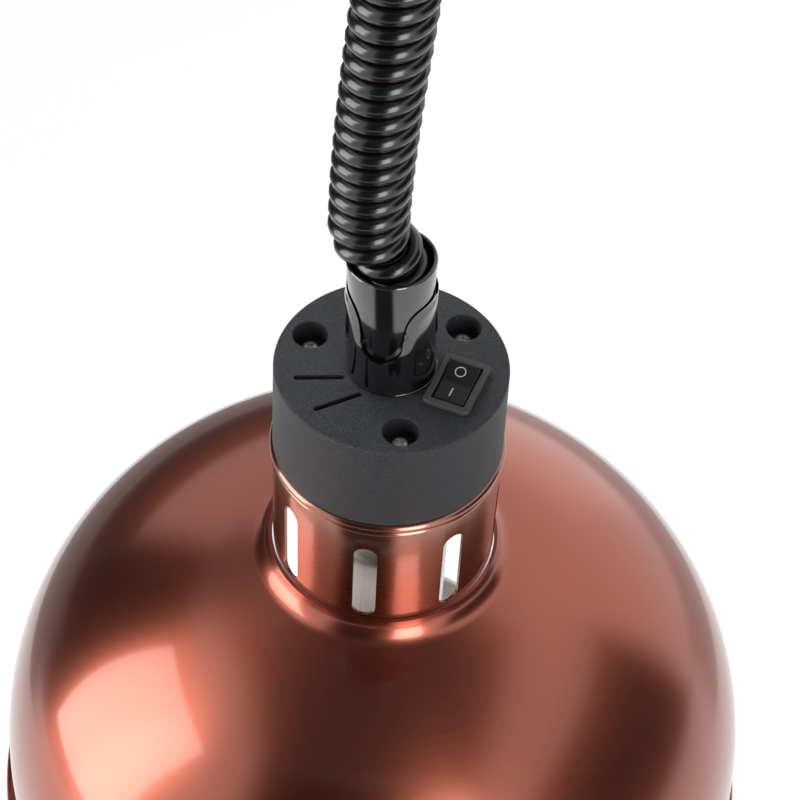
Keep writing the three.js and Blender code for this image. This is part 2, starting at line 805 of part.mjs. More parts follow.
function insulatorGeometry() {
  const foot = insulatorTop - bulbInsulatorHeight;
  const footRadius = bulbCapRadius - bulbCapTaper - seatGap;
  const topRadius = bulbContactRadius + seatGap;
  const outline = [at(0, foot), at(footRadius, foot), at(topRadius, insulatorTop), at(0, insulatorTop)];
  return revolve(outline, smallSides);
}

addPiece(head, "bulb_insulator", insulatorGeometry(), "glossBlack");

function bulbCapGeometry() {
  return revolve(
    [
      at(0, bulbCapFoot),
      at(bulbCapRadius, bulbCapFoot),
      at(bulbCapRadius, bulbCapTop - bulbCapTaper),
      at(bulbCapRadius - bulbCapTaper, bulbCapTop),
      at(0, bulbCapTop),
    ],
    bulbSides,
  );
}

addPiece(head, "bulb_cap", bulbCapGeometry(), "brass");

// The glass: crowned face, rounded edge, flaring reflector, straight neck and shoulder, from the foot up.
function bulbLine() {
  const edge = bulbFoot + 2 * bulbFaceCrown;
  const widest = bulbFoot + bulbFace;
  const neckFoot = glassTop - bulbShoulder - bulbNeckLength;
  const flare = neckFoot - widest;
  const flareFrom = widest + flare / 3;
  const flareTo = neckFoot - flare / 2;
  const path = new THREE.Path();
  path.moveTo(0, bulbFoot);
  path.quadraticCurveTo(bulbFaceRadius / 2, bulbFoot, bulbFaceRadius, bulbFoot + bulbFaceCrown);
  path.bezierCurveTo(bulbRadius, edge, bulbRadius, widest - bulbFaceCrown, bulbRadius, widest);
  path.bezierCurveTo(bulbRadius, flareFrom, bulbNeckRadius, flareTo, bulbNeckRadius, neckFoot);
  path.lineTo(bulbNeckRadius, glassTop - bulbShoulder);
  path.quadraticCurveTo(bulbNeckRadius, glassTop, bulbCapRadius, glassTop);
  return path.getPoints(edgeSteps);
}

function glassGeometry() {
  const outline = wallBehind(bulbLine(), bulbGlass);
  outline[outline.length - 1].x = 0;
  return revolve(outline, bulbSides);
}

addPiece(head, "bulb_glass", glassGeometry(), "glass");

function stemGeometry() {
  const top = glassTop;
  const flareFoot = top - 2 * bulbGlass;
  return revolve(
    [
      at(0, top - stemLength),
      at(stemRadius, top - stemLength),
      at(stemRadius, flareFoot - stemRadius),
      at(stemFlareRadius, flareFoot),
      at(stemFlareRadius, top),
      at(0, top),
    ],
    smallSides,
  );
}

addPiece(head, "bulb_stem", stemGeometry(), "glass");

// One wire down a lead, round the ring and back up the other lead.
function filamentGeometry() {
  const top = glassTop - stemLength - seatGap;
  const half = filamentOpening / 2;
  const ring = arc(at(0, 0), filamentRadius, half, 360 - half, filamentSteps);
  const lead = ring[0].clone().setLength(stemRadius / 2);
  const lower = (place, drop) => new THREE.Vector3(place.x, place.y, top - drop);
  const leadDown = [lower(lead, 0), lower(lead, filamentDrop / 2)];
  const leadUp = leadDown.map((point) => new THREE.Vector3(point.x, -point.y, point.z)).reverse();
  const points = [...leadDown, ...ring.map((place) => lower(place, filamentDrop)), ...leadUp];
  return tube(new THREE.CatmullRomCurve3(points), filamentWire / 2, 3 * filamentSteps, wireSides);
}

function tube(curve, radius, steps, sides) {
  const corners = [];
  for (let side = 0; side < sides; side++) corners.push(polar(radius, (360 * side) / sides));
  const settings = { steps, extrudePath: curve, bevelEnabled: false };
  return new THREE.ExtrudeGeometry(new THREE.Shape(corners), settings);
}

addPiece(head, "bulb_filament", filamentGeometry(), "tungsten");

// Wires: each leaves and arrives along Z.

function wireGeometry(from, to, leaveUp, arriveFrom) {
  const first = from.clone();
  first.z += leaveUp * wireLead;
  const second = to.clone();
  second.z += arriveFrom * wireLead;
  return tube(new THREE.CubicBezierCurve3(from, first, second, to), wireRadius, wireSteps, wireSides);
}

function wireEnd(index, height) {
  const place = polar(wireCircle, (360 * index) / 3);
  return new THREE.Vector3(place.x, place.y, height);
}

function terminalEnd(index) {
  const place = at(0, terminalPlaces[index]).rotateAround(at(0, 0), radians(switchAngle));
  place.add(polar(switchRadius, switchAngle));
  return new THREE.Vector3(place.x, place.y, terminalTop - terminalLength - seatGap);
}

function holderEnd(index) {
  const place = wireHolePlaces()[index];
  return new THREE.Vector3(place.x, place.y, holderTop + seatGap);
}

const gripFoot = -threadLength - seatGap;
const earthEnd = new THREE.Vector3(earthPlace.x, earthPlace.y, earthScrewTop + seatGap);
addPiece(head, "wire_live", wireGeometry(wireEnd(0, gripFoot), terminalEnd(0), -1, -1), "brown");
addPiece(head, "wire_switched", wireGeometry(terminalEnd(1), holderEnd(0), -1, 1), "brown");
addPiece(head, "wire_neutral", wireGeometry(wireEnd(1, gripFoot), holderEnd(1), -1, 1), "blue");
addPiece(head, "wire_earth", wireGeometry(wireEnd(2, gripFoot), earthEnd, -1, 1), "green");

// The curly cord: one strand, straight at both ends, wound with a set-off bend where it leaves the sleeve

const smooth = (share) => THREE.MathUtils.smoothstep(share, 0, 1);

function easeOut(share) {
  return Math.sin((Math.PI / 2) * THREE.MathUtils.clamp(share, 0, 1));
}

// A point of the cord's middle, counted in turns from the foot of the coil.
function coilPoint(turns) {
  const bent = smooth((turns - mouthTurns) / bendTurns);
  const settled = mouthTurns + bendTurns;
  const home = smooth((turns - settled) / (coilTurns - settled));
  const swungOut = smooth(turns / leadTurns) * smooth((coilTurns - turns) / leadTurns);
  const radius = swungOut * THREE.MathUtils.lerp(mouthCoilRadius, coilRadius, bent);
  const tilt = radians(bendTilt) * 4 * bent * (1 - bent);
  const angle = radians(coilPhase) + 2 * Math.PI * turns;
  const middle = THREE.MathUtils.lerp(mouthOffset, stackOffset, bent) * (1 - home);
  const leads = easeOut(turns / leadTurns) + 1 - easeOut((coilTurns - turns) / leadTurns);
  const spread = bendSpread * THREE.MathUtils.clamp(turns - mouthTurns, 0, bendTurns);
  return new THREE.Vector3(
    middle + radius * Math.cos(angle) * Math.cos(tilt),
    radius * Math.sin(angle),
    coilFoot + leadRise * leads + coilPitch * turns + spread + radius * Math.cos(angle) * Math.sin(tilt),
  );
}

// The whole cord, with one straight step of a cord's diameter before the coil and one after it.
class CurlyCord extends THREE.Curve {
  getPoint(share, target = new THREE.Vector3()) {
    const turns = share * (coilTurns + 2 / cordSteps) - 1 / cordSteps;
    const inside = THREE.MathUtils.clamp(turns, 0, coilTurns);
    const beyond = turns - inside;
    return target.copy(coilPoint(inside)).setZ(coilPoint(inside).z + beyond * cordSteps * cordDiameter);
  }
  // Steps are counted in turns and not in length, so that each curl has the same corners.
  getUtoTmapping(share) {
    return share;
  }
}

// The least gap between a curl and any other stretch of the cord, measured on the points of its middle.
function leastCordGap() {
  const points = new CurlyCord().getPoints(cordSteps * coilTurns + 2);
  let least = Infinity;
  points.forEach((point, index) => {
    for (const other of points.slice(index + Math.ceil((3 * cordSteps) / 4))) {
      least = Math.min(least, point.distanceTo(other) - cordDiameter);
    }
  });
  return least;
}

const cord = tube(new CurlyCord(), cordRadius, cordSteps * coilTurns + 2, cordSides);
addPiece(head, "curly_cord", cord, "cord");
console.log("least gap of the cord to itself:", leastCordGap().toFixed(2), "mm");

// The ceiling canopy, in the ceiling's frame

const canopyInnerRadius = canopyRadius - canopyWall;

function tabFace() {
  return Math.sqrt((canopyInnerRadius - seatGap) ** 2 - (tabWidth / 2) ** 2);
}

const canopyScrewHeight = -ceilingPlateThickness - tabDrop / 2;

// A rod along X at the canopy screws' height.
function crossRod(radius, fromX, toX) {
  const geometry = new THREE.CylinderGeometry(radius, radius, toX - fromX, screwSides);
  return geometry.rotateZ(Math.PI / 2).translate((fromX + toX) / 2, 0, canopyScrewHeight);
}

function ceilingPlateGeometry() {
  const disc = rod(canopyInnerRadius - seatGap, -ceilingPlateThickness, 0, bodySides);
  const tabFoot = -ceilingPlateThickness - tabDrop;
  const tabMiddle = tabFace() - tabThickness / 2;
  const tabs = [1, -1].map((side) => {
    return block(tabThickness, tabWidth, tabFoot, -ceilingPlateThickness / 2, at(side * tabMiddle, 0));
  });
  const cutters = [1, -1].map((side) => {
    const middle = (side * fixingSpacing) / 2;
    const slide = fixingSlide / 2;
    const slot = slotShape(at(middle - slide, 0), at(middle + slide, 0), 2 * fixingRadius);
    return prism(slot, -ceilingPlateThickness - overrun, overrun, roundSteps);
  });
  cutters.push(rod(entryRadius, -ceilingPlateThickness - overrun, overrun, smallSides, at(0, entryOffset)));
  cutters.push(crossRod(canopyScrewRadius + seatGap, -canopyRadius, canopyRadius));
  return cut(join(disc, ...tabs), cutters);
}

addPiece(lamp, "ceiling_plate", ceilingPlateGeometry(), "steel");

function canopyGeometry() {
  const line = [
    at(glandRadius + seatGap, -canopyHeight),
    ...arc(at(canopyRadius - canopyCorner, canopyCorner - canopyHeight), canopyCorner, -90, 0, edgeSteps),
    at(canopyRadius, 0),
  ];
  const cup = revolve(wallBehind(line, canopyWall), bodySides);
  return cut(cup, [crossRod(canopyScrewRadius + seatGap, -canopyRadius - overrun, canopyRadius + overrun)]);
}

addPiece(lamp, "canopy_cup", canopyGeometry(), "glossBlack");

["left", "right"].forEach((side, index) => {
  const screw = screwGeometry(canopyScrewHeadRadius, canopyScrewHead, canopyScrewRadius, canopyScrewLength);
  screw.rotateY(index === 0 ? -Math.PI / 2 : Math.PI / 2);
  const reach = (index === 0 ? -1 : 1) * (canopyRadius + seatGap);
  addPiece(lamp, `canopy_screw_${side}`, screw.translate(reach, 0, canopyScrewHeight), "zinc");
});

const blockFoot = -ceilingPlateThickness - seatGap - blockHeight;

function terminalBlockGeometry() {
  const place = at(0, blockOffset);
  const blockTop = -ceilingPlateThickness - seatGap;
  const body = block(blockWidth, blockDepth, blockFoot + blockRidge, blockTop, place);
  const ridge = block(blockWidth, blockDepth / 2, blockFoot, blockFoot + 2 * blockRidge, place);
  return join(body, ridge);
}

addPiece(lamp, "terminal_block", terminalBlockGeometry(), "ceramic");

const glandSeat = -canopyHeight - seatGap;
const glandTop = glandSeat + glandThread;

function glandGeometry() {
  const flangeFoot = glandSeat - glandFlange;
  return revolve(
    [
      at(0, flangeFoot - glandTaper),
      at(glandTipRadius, flangeFoot - glandTaper),
      at(glandRadius + glandFlange / 2, flangeFoot),
      at(glandFlangeRadius, flangeFoot),
      at(glandFlangeRadius, glandSeat),
      at(glandRadius, glandSeat),
      at(glandRadius, glandTop),
      at(0, glandTop),
    ],
    bulbSides,
  );
}

addPiece(lamp, "canopy_gland", glandGeometry(), "mattBlack");

const glandNutFoot = -canopyHeight + canopyWall + seatGap;
const glandNutTop = glandNutFoot + glandNutHeight;
const glandNut = nutGeometry(glandNutAcross, glandRadius + seatGap, glandNutFoot, glandNutTop);
addPiece(lamp, "gland_nut", glandNut, "zinc");

[
  { name: "live", colour: "brown", side: 1 },
  { name: "neutral", colour: "blue", side: -1 },
  { name: "earth", colour: "green", side: 0 },
].forEach(({ name, colour, side }, index) => {
  const from = wireEnd(index, glandTop + seatGap);
  const to = new THREE.Vector3((side * blockWidth) / 3, blockOffset, blockFoot - seatGap);
  addPiece(lamp, `canopy_wire_${name}`, wireGeometry(from, to, 1, -1), colour);
});

export default lamp;
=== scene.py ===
# A ceiling-hung heat lamp: copper shade, black switched cap and a curly cord, dressed round its CAD frame.
import math

import bpy
from mathutils import Matrix, Vector
from mathutils.geometry import intersect_point_line
from mathutils.kdtree import KDTree


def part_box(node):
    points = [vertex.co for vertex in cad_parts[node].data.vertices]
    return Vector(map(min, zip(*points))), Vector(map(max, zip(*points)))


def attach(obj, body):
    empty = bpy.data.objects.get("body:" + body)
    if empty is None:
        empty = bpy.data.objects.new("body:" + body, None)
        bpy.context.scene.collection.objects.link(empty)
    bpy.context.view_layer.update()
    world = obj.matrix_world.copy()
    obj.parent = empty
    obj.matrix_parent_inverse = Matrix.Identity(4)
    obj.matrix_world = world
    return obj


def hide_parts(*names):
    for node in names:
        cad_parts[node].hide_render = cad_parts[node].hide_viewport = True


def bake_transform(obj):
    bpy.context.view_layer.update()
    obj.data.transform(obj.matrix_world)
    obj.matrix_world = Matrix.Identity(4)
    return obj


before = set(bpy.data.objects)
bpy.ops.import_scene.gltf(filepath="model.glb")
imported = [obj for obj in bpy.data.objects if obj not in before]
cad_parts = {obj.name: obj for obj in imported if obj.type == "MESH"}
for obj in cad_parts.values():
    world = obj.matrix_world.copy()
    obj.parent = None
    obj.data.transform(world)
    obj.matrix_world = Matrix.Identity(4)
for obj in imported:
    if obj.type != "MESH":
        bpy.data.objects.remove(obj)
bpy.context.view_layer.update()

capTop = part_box("head_cap")[1][2]  # the head's heights are counted from the cap's top face
touching = 0.0003  # the gap that the CAD leaves between pieces that touch
sameSpot = 0.000002  # points nearer than this are one

# The camera, placed from the middle of the cap's top face

cameraView = {
    "place": (0.0031116, -0.408469, 0.436083),
    "right": (0.99835885, 0.04250808, 0.03837532),
    "up": (-0.05726781, 0.74105013, 0.66900307),
    "lens": 88.66,
    "sensor": 36,
    "near": 0.01,
}


def link(name, data):
    added = bpy.data.objects.new(name, data)
    bpy.context.scene.collection.objects.link(added)
    return added


def placeCamera():
    view = cameraView
    data = bpy.data.cameras.new("camera")
    data.lens = view["lens"]
    data.sensor_width = view["sensor"]
    data.clip_start = view["near"]
    right, up = Vector(view["right"]), Vector(view["up"])
    facing = Matrix((right, up, right.cross(up))).transposed().to_4x4()
    camera = link("camera", data)
    camera.matrix_world = Matrix.Translation(Vector(view["place"]) + Vector((0, 0, capTop))) @ facing
    bpy.context.scene.camera = camera


placeCamera()
print("camera placed")

# Lines and small sums


def polar(radius, degrees):
    angle = math.radians(degrees)
    return (radius * math.cos(angle), radius * math.sin(angle))


def arcLine(centre, radius, fromDegrees, toDegrees, steps):
    line = []
    for step in range(steps + 1):
        x, y = polar(radius, fromDegrees + (toDegrees - fromDegrees) * step / steps)
        line.append((centre[0] + x, centre[1] + y))
    return line


def wallBehind(line, wall):  # closes a line into a wall of even thickness, to its left
    back = []
    for index, here in enumerate(line):
        before = Vector(line[max(index - 1, 0)])
        after = Vector(line[min(index + 1, len(line) - 1)])
        here = Vector(here)
        arriving = (here - before if index else after - here).normalized()
        leaving = (after - here).normalized() if index < len(line) - 1 else arriving
        reach = wall / (1 + arriving.dot(leaving))
        back.append((here.x - (arriving.y + leaving.y) * reach, here.y + (arriving.x + leaving.x) * reach))
    return list(line) + back[::-1]


def smoothStep(share):
    share = min(max(share, 0), 1)
    return share * share * (3 - 2 * share)


def between(low, high, share):
    return low + (high - low) * share


def shiftBy(x, y, z):
    return Matrix.Translation((x, y, z))


def turnBy(degrees, axis="Z"):
    return Matrix.Rotation(math.radians(degrees), 4, axis)


# Modelling, with the tools of the edit mode


def deselect():
    bpy.ops.object.select_all(action="DESELECT")


def selectOnly(*objects):
    deselect()
    for each in objects:
        each.select_set(True)
    bpy.context.view_layer.objects.active = objects[0]


def nameIt(name):
    piece = bpy.context.object
    piece.name = piece.data.name = name
    return piece


def cleanMesh():  # in edit mode: doubles merged and faces turned outwards
    bpy.ops.mesh.select_all(action="SELECT")
    bpy.ops.mesh.remove_doubles(threshold=sameSpot)
    bpy.ops.mesh.normals_make_consistent(inside=False)


def turnPiece(name, profile, steps):  # a closed line of (radius, height) spun round the axis
    deselect()
    bpy.ops.mesh.primitive_plane_add(size=0.01)
    piece = nameIt(name)
    bpy.ops.object.mode_set(mode="EDIT")
    bpy.ops.mesh.merge(type="CENTER")
    bpy.ops.transform.translate(value=(profile[0][0], 0, profile[0][1]))
    here = profile[0]
    for there in profile[1:] + profile[:1]:
        step = (there[0] - here[0], 0, there[1] - here[1])
        bpy.ops.mesh.extrude_vertices_move(TRANSFORM_OT_translate={"value": step})
        here = there
    bpy.ops.mesh.select_all(action="SELECT")
    bpy.ops.mesh.remove_doubles(threshold=sameSpot)
    bpy.ops.mesh.select_all(action="SELECT")
    bpy.ops.mesh.spin(steps=steps, angle=2 * math.pi, center=(0, 0, 0), axis=(0, 0, 1))
    cleanMesh()
    bpy.ops.object.mode_set(mode="OBJECT")
    return piece


def extrudeOutline(name, outline, depth):  # a closed outline in the XY plane, raised by a depth
    deselect()
    bpy.ops.mesh.primitive_circle_add(vertices=len(outline), radius=0.01, fill_type="NGON")
    piece = nameIt(name)
    for point, place in zip(piece.data.vertices, outline):
        point.co = (place[0], place[1], 0)
    bpy.ops.object.mode_set(mode="EDIT")
    bpy.ops.mesh.select_all(action="SELECT")
    bpy.ops.mesh.extrude_region_move(TRANSFORM_OT_translate={"value": (0, 0, depth)})
    cleanMesh()
    bpy.ops.object.mode_set(mode="OBJECT")
    return piece


def settle(piece, place=None):  # moves the mesh itself, so that the object stays at the origin
    selectOnly(piece)
    if place is not None:
        piece.matrix_world = place
    bpy.ops.object.transform_apply(location=True, rotation=True, scale=True)
    return piece


def lift(piece, height):
    return settle(piece, shiftBy(0, 0, height))


def boxPiece(name, size, place):
    bpy.ops.mesh.primitive_cube_add(size=1)
    box = nameIt(name)
    box.scale = size
    return settle(settle(box), place)


def joinPieces(name, *pieces):
    selectOnly(*pieces)
    if len(pieces) > 1:
        bpy.ops.object.join()
    return nameIt(name)


def modify(piece, kind, **settings):
    selectOnly(piece)
    modifier = piece.modifiers.new(kind.lower(), kind)
    for key, value in settings.items():
        setattr(modifier, key, value)
    bpy.ops.object.modifier_apply(modifier=modifier.name)
    return piece


def combine(operation, piece, *others):
    other = joinPieces("other", *others)
    modify(piece, "BOOLEAN", operation=operation, solver="EXACT", use_self=len(others) > 1, object=other)
    bpy.data.objects.remove(other, do_unlink=True)
    return piece


def carve(piece, *cutters):
    return combine("DIFFERENCE", piece, *cutters)


def roundEdges(piece, width, segments, angle):
    limit = math.radians(angle)
    return modify(piece, "BEVEL", width=width, segments=segments, limit_method="ANGLE", angle_limit=limit)


def copyPiece(piece, name, place):
    twin = link(name, piece.data.copy())
    twin.data.name = name
    return settle(twin, place)


def dress(piece, finish, body, slot, *nodes, smooth=35, crisp=False):
    selectOnly(piece)
    bpy.ops.object.shade_smooth_by_angle(angle=math.radians(smooth))
    if crisp:  # large faces keep their own direction beside narrow rounded edges
        modify(piece, "WEIGHTED_NORMAL", keep_sharp=True, weight=80)
    piece.data.materials.clear()
    piece.data.materials.append(finish)
    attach(piece, body)
    if nodes:
        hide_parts(*nodes)
    return piece


# The curly cord, on the same route as in the CAD. A ring of corners for each point of the route.

curlyCord = {
    "diameter": 0.0054,
    "radius": 0.0091,
    "gap": 0.00052,
    "turns": 28,
    "phase": 9.3,
    "leadTurns": 0.75,
    "leadRise": 0.009,
    "foot": 0.027,
    "mouthTurns": 1.2,
    "mouthRadius": 0.0083,
    "mouthOffset": -0.0012,
    "bendTurns": 1.84,
    "bendSpread": 0.0004,
    "bendTilt": 10.6,
    "stackOffset": -0.0085,
    "stepsToATurn": 24,
    "sides": 16,
    "intoItsGrip": 0.002,
}


def coilPoint(turns):
    c = curlyCord
    settled = c["mouthTurns"] + c["bendTurns"]
    bent = smoothStep((turns - c["mouthTurns"]) / c["bendTurns"])
    home = smoothStep((turns - settled) / (c["turns"] - settled))
    swungOut = smoothStep(turns / c["leadTurns"]) * smoothStep((c["turns"] - turns) / c["leadTurns"])
    radius = swungOut * between(c["mouthRadius"], c["radius"], bent)
    tilt = math.radians(c["bendTilt"]) * 4 * bent * (1 - bent)
    angle = math.radians(c["phase"]) + 2 * math.pi * turns
    middle = between(c["mouthOffset"], c["stackOffset"], bent) * (1 - home)
    easedIn = math.sin(math.pi / 2 * min(turns / c["leadTurns"], 1))
    easedOut = 1 - math.sin(math.pi / 2 * min((c["turns"] - turns) / c["leadTurns"], 1))
    rise = c["foot"] + c["leadRise"] * (easedIn + easedOut) + (c["diameter"] + c["gap"]) * turns
    rise += c["bendSpread"] * min(max(turns - c["mouthTurns"], 0), c["bendTurns"])
    return Vector((
        middle + radius * math.cos(angle) * math.cos(tilt),
        radius * math.sin(angle),
        capTop + rise + radius * math.cos(angle) * math.sin(tilt),
    ))


def cordRoute():
    c = curlyCord
    steps = round(c["turns"] * c["stepsToATurn"])
    route = [coilPoint(c["turns"] * step / steps) for step in range(steps + 1)]
    straight = c["diameter"] + c["intoItsGrip"]
    for share in (0.35, 0.7, 1):  # both ends go on straight into their grips
        route.insert(0, route[0].copy())
        route[0].z = coilPoint(0).z - straight * share
        route.append(route[-1].copy())
        route[-1].z = coilPoint(c["turns"]).z + straight * share
    return route


def makeCord():
    route = cordRoute()
    line = bpy.data.curves.new("cord", "CURVE")
    line.dimensions = "3D"
    line.bevel_depth = curlyCord["diameter"] / 2
    line.bevel_resolution = curlyCord["sides"] // 2 - 2
    line.use_fill_caps = True
    spline = line.splines.new("POLY")
    spline.points.add(len(route) - 1)
    for point, place in zip(spline.points, route):
        point.co = (*place, 1)
    selectOnly(link("coiled_cord", line))
    bpy.ops.object.convert(target="MESH")
    cord = nameIt("coiled_cord")
    length = sum((b - a).length for a, b in zip(route, route[1:]))
    print("cord", len(cord.data.vertices), "points for", len(route), "rings,", round(length, 4), "m")
    return cord, route, length


cord, route, cordLength = makeCord()

# Shader sums and finishes


class Wire:  # an output of a shader node, for sums written as plain expressions
    def __init__(self, owner, socket):
        self.owner = owner
        self.socket = socket

    def __add__(self, other):
        return self.owner.sum("ADD", self, other)

    def __sub__(self, other):
        return self.owner.sum("SUBTRACT", self, other)

    def __rsub__(self, other):
        return self.owner.sum("SUBTRACT", other, self)

    def __mul__(self, other):
        return self.owner.sum("MULTIPLY", self, other)

    def __gt__(self, other):
        return self.owner.sum("GREATER_THAN", self, other)

    def other(self, name):
        return Wire(self.owner, self.socket.node.outputs[name])

    __radd__ = __add__
    __rmul__ = __mul__


class Nodes:  # a node tree, with one method for any node
    def __init__(self, tree):
        self.tree = tree

    def put(self, socket, value):
        if isinstance(value, Wire):
            self.tree.links.new(value.socket, socket)
        else:
            socket.default_value = value

    def node(self, kind, settings=None, values=None, out=0):
        made = self.tree.nodes.new("ShaderNode" + kind)
        for key, value in (settings or {}).items():
            setattr(made, key, value)
        for key, value in (values or {}).items():
            self.put(made.inputs[key], value)
        return Wire(self, made.outputs[out])

    def sum(self, operation, first, second=0.0):
        return self.node("Math", {"operation": operation}, {0: first, 1: second})

    def seen(self):  # 1 for what the camera, a mirror or clear glass looks at
        rays = self.node("LightPath")
        mirrored = self.sum("MAXIMUM", rays, rays.other("Is Glossy Ray"))
        return self.sum("MAXIMUM", mirrored, rays.other("Is Transmission Ray"))


class Finish(Nodes):  # a material and its shader's fixed values
    def __init__(self, name, color, roughness, **fixed):
        self.material = bpy.data.materials.new(name)
        self.material.use_nodes = True
        super().__init__(self.material.node_tree)
        self.shader = self.tree.nodes["Principled BSDF"]
        self.feed("Base Color", (*color, 1))
        self.feed("Roughness", roughness)
        for key, value in fixed.items():
            self.feed(key.replace("_", " "), value)

    def feed(self, key, value):
        self.put(self.shader.inputs[key], value)

    def show(self, share, first, second):  # a mix of two shaders becomes what the surface shows
        mixed = self.node("MixShader", values={0: share, 1: first, 2: second})
        self.put(self.tree.nodes["Material Output"].inputs["Surface"], mixed)

    def place(self):  # where the point is, in the object's own frame
        return self.node("TexCoord", out="Object")

    def parts(self):
        split = self.node("SeparateXYZ", values={0: self.place()})
        return split, split.other("Y"), split.other("Z")

    def noise(self, scale, detail, roughness=0.5, vector=None):
        values = {"Vector": vector or self.place(), "Scale": scale, "Detail": detail,
                  "Roughness": roughness}
        return self.node("TexNoise", values=values)

    def shades(self, share, dark, light):
        dark = dark if isinstance(dark, Wire) else (*dark, 1)
        return self.node("Mix", {"data_type": "RGBA"}, {"Factor": share, 6: dark, 7: (*light, 1)}, 2)

    def bump(self, height, distance, strength=1.0):
        values = {"Height": height, "Distance": distance, "Strength": strength}
        self.feed("Normal", self.node("Bump", values=values))

    def weather(self, grain, shades, roughness, swing, *relief):  # one grain in colour, gloss and relief
        self.feed("Base Color", self.shades(grain, *shades))
        self.feed("Roughness", roughness + (grain - 0.5) * swing)
        self.bump(grain, *relief)
        return self.material

    def rings(self, across, along):  # a coordinate that runs in fine lines round the axis
        x, y, z = self.parts()
        radius = self.sum("SQRT", x * x + y * y)
        angle = self.sum("ARCTAN2", y, x)
        values = {"X": radius * across, "Y": z * across, "Z": angle * along}
        return self.node("CombineXYZ", values=values)


copperLook = {
    "dark": (0.35, 0.082, 0.046),
    "light": (0.45, 0.122, 0.075),
    "roughness": 0.3,
    "coat": 1.0,
    "coatIor": 1.45,
    "coatRoughness": 0.09,
    "stretch": 0.6,  # the highlights run across the spun lines
}

# The neck's copy of the copper is painted darker than the dome's: painted shade that tempers the lamps'
# highlights on the neck.
neckLookPaintedShade = {
    **copperLook,
    "dark": (0.27, 0.074, 0.036),
    "light": (0.36, 0.124, 0.062),
    "roughness": 0.27,
    "coatIor": 1.85,
}


def copperFinish(name, look, lineDepth, lineShare):
    copper = Finish(name, look["light"], look["roughness"], Metallic=1.0, Coat_Weight=look["coat"],
                    Coat_IOR=look["coatIor"], Coat_Roughness=look["coatRoughness"],
                    Anisotropic=look["stretch"], Anisotropic_Rotation=0.25)
    lines = copper.noise(1, 3, vector=copper.rings(2600, 3))
    cloud = copper.noise(9, 2)
    tone = cloud * (1 - lineShare) + lines * lineShare
    copper.feed("Base Color", copper.shades(tone, look["dark"], look["light"]))
    copper.feed("Roughness", look["roughness"] + (lines - 0.5) * lineShare * 0.6 + (cloud - 0.5) * 0.06)
    copper.bump(lines, lineDepth, 0.5)
    return copper.material


def grainedPlastic(name, dark, light, roughness, scale, depth, contrast=1.0):
    plastic = Finish(name, light, roughness, Specular_IOR_Level=0.4)
    grain = (plastic.noise(scale, 3, 0.6) - 0.5) * contrast + 0.5
    return plastic.weather(grain, (dark, light), roughness, 0.2, depth)


def polishedPlastic(name, color, roughness, wave, coat=0.0):
    plastic = Finish(name, color, roughness, Specular_IOR_Level=0.5 + coat / 2, Coat_Weight=coat,
                     Coat_IOR=1.5, Coat_Roughness=roughness * 0.6)
    sag = plastic.noise(140, 1)
    dust = plastic.noise(2600, 2)
    plastic.feed("Roughness", roughness + dust * 0.05)
    plastic.feed("Base Color", plastic.shades(dust, color, [part * 1.5 for part in color]))
    plastic.bump(sag, wave, 0.5)
    return plastic.material


def platedMetal(name, dark, light, roughness, scale):
    metal = Finish(name, light, roughness, Metallic=1.0)
    bloom = metal.noise(scale, 3, 0.6)
    return metal.weather(bloom, (dark, light), roughness, 0.25, 0.00002, 0.4)


def porcelain():
    glaze = Finish("porcelain", (0.78, 0.74, 0.66), 0.18, Coat_Weight=0.5, Coat_Roughness=0.06)
    speck = glaze.noise(380, 3, 0.6)
    return glaze.weather(speck, ((0.82, 0.78, 0.7), (0.93, 0.91, 0.86)), 0.2, 0.12, 0.00005, 0.3)


def insulation(name, dark, light, stripe=None):
    sheath = Finish(name, light, 0.42)
    scuff = sheath.noise(700, 2)
    color = sheath.shades(scuff, dark, light)
    if stripe:
        x, y, z = sheath.parts()
        color = sheath.shades(sheath.sum("PINGPONG", x + y + z * 0.6, 0.0016) > 0.0008, color, stripe)
    sheath.feed("Base Color", color)
    sheath.feed("Roughness", 0.36 + scuff * 0.14)
    sheath.bump(scuff, 0.00002, 0.4)
    return sheath.material


def reflectorGlass():
    silver = Finish("reflector_glass", (0.7, 0.69, 0.67), 0.22, Metallic=1.0, Coat_Weight=0.6,
                    Coat_Roughness=0.08)
    lines = silver.noise(1, 3, vector=silver.rings(1300, 3))
    blotch = silver.noise(60, 2)
    x, y, z = silver.parts()
    upright = silver.node("CombineXYZ", values={"X": silver.sum("ARCTAN2", y, x) * 36, "Y": z * 14})
    streak = (silver.noise(1, 3, 0.7, upright) * 0.7 + blotch * 0.3 - 0.5) * 2.2 + 0.5
    silver.feed("Base Color", silver.shades(streak, (0.66, 0.57, 0.53), (0.97, 0.9, 0.86)))
    silver.feed("Roughness", 0.3 + lines * 0.25)
    silver.bump(lines, 0.00006, 0.4)
    return silver.material


def frostedGlass():
    frost = Finish("frosted_glass", (0.93, 0.93, 0.9), 0.4, Transmission_Weight=0.75, IOR=1.47)
    grain = frost.noise(1500, 2)
    return frost.weather(grain, ((0.88, 0.88, 0.86), (0.96, 0.96, 0.94)), 0.46, 0.2, 0.00004, 0.5)


def clearGlass():
    glass = Finish("clear_glass", (0.95, 0.97, 0.97), 0.03, Transmission_Weight=1.0, IOR=1.5)
    ripple = glass.noise(240, 1)
    glass.feed("Roughness", 0.02 + ripple * 0.04)
    glass.bump(ripple, 0.00002, 0.3)
    return glass.material


def whiteInk():
    ink = Finish("white_ink", (0.75, 0.79, 0.86), 0.5)
    wear = ink.noise(2800, 2)
    ink.feed("Base Color", ink.shades(wear, (0.68, 0.73, 0.8), (0.86, 0.89, 0.95)))
    ink.feed("Roughness", 0.42 + wear * 0.2)
    return ink.material


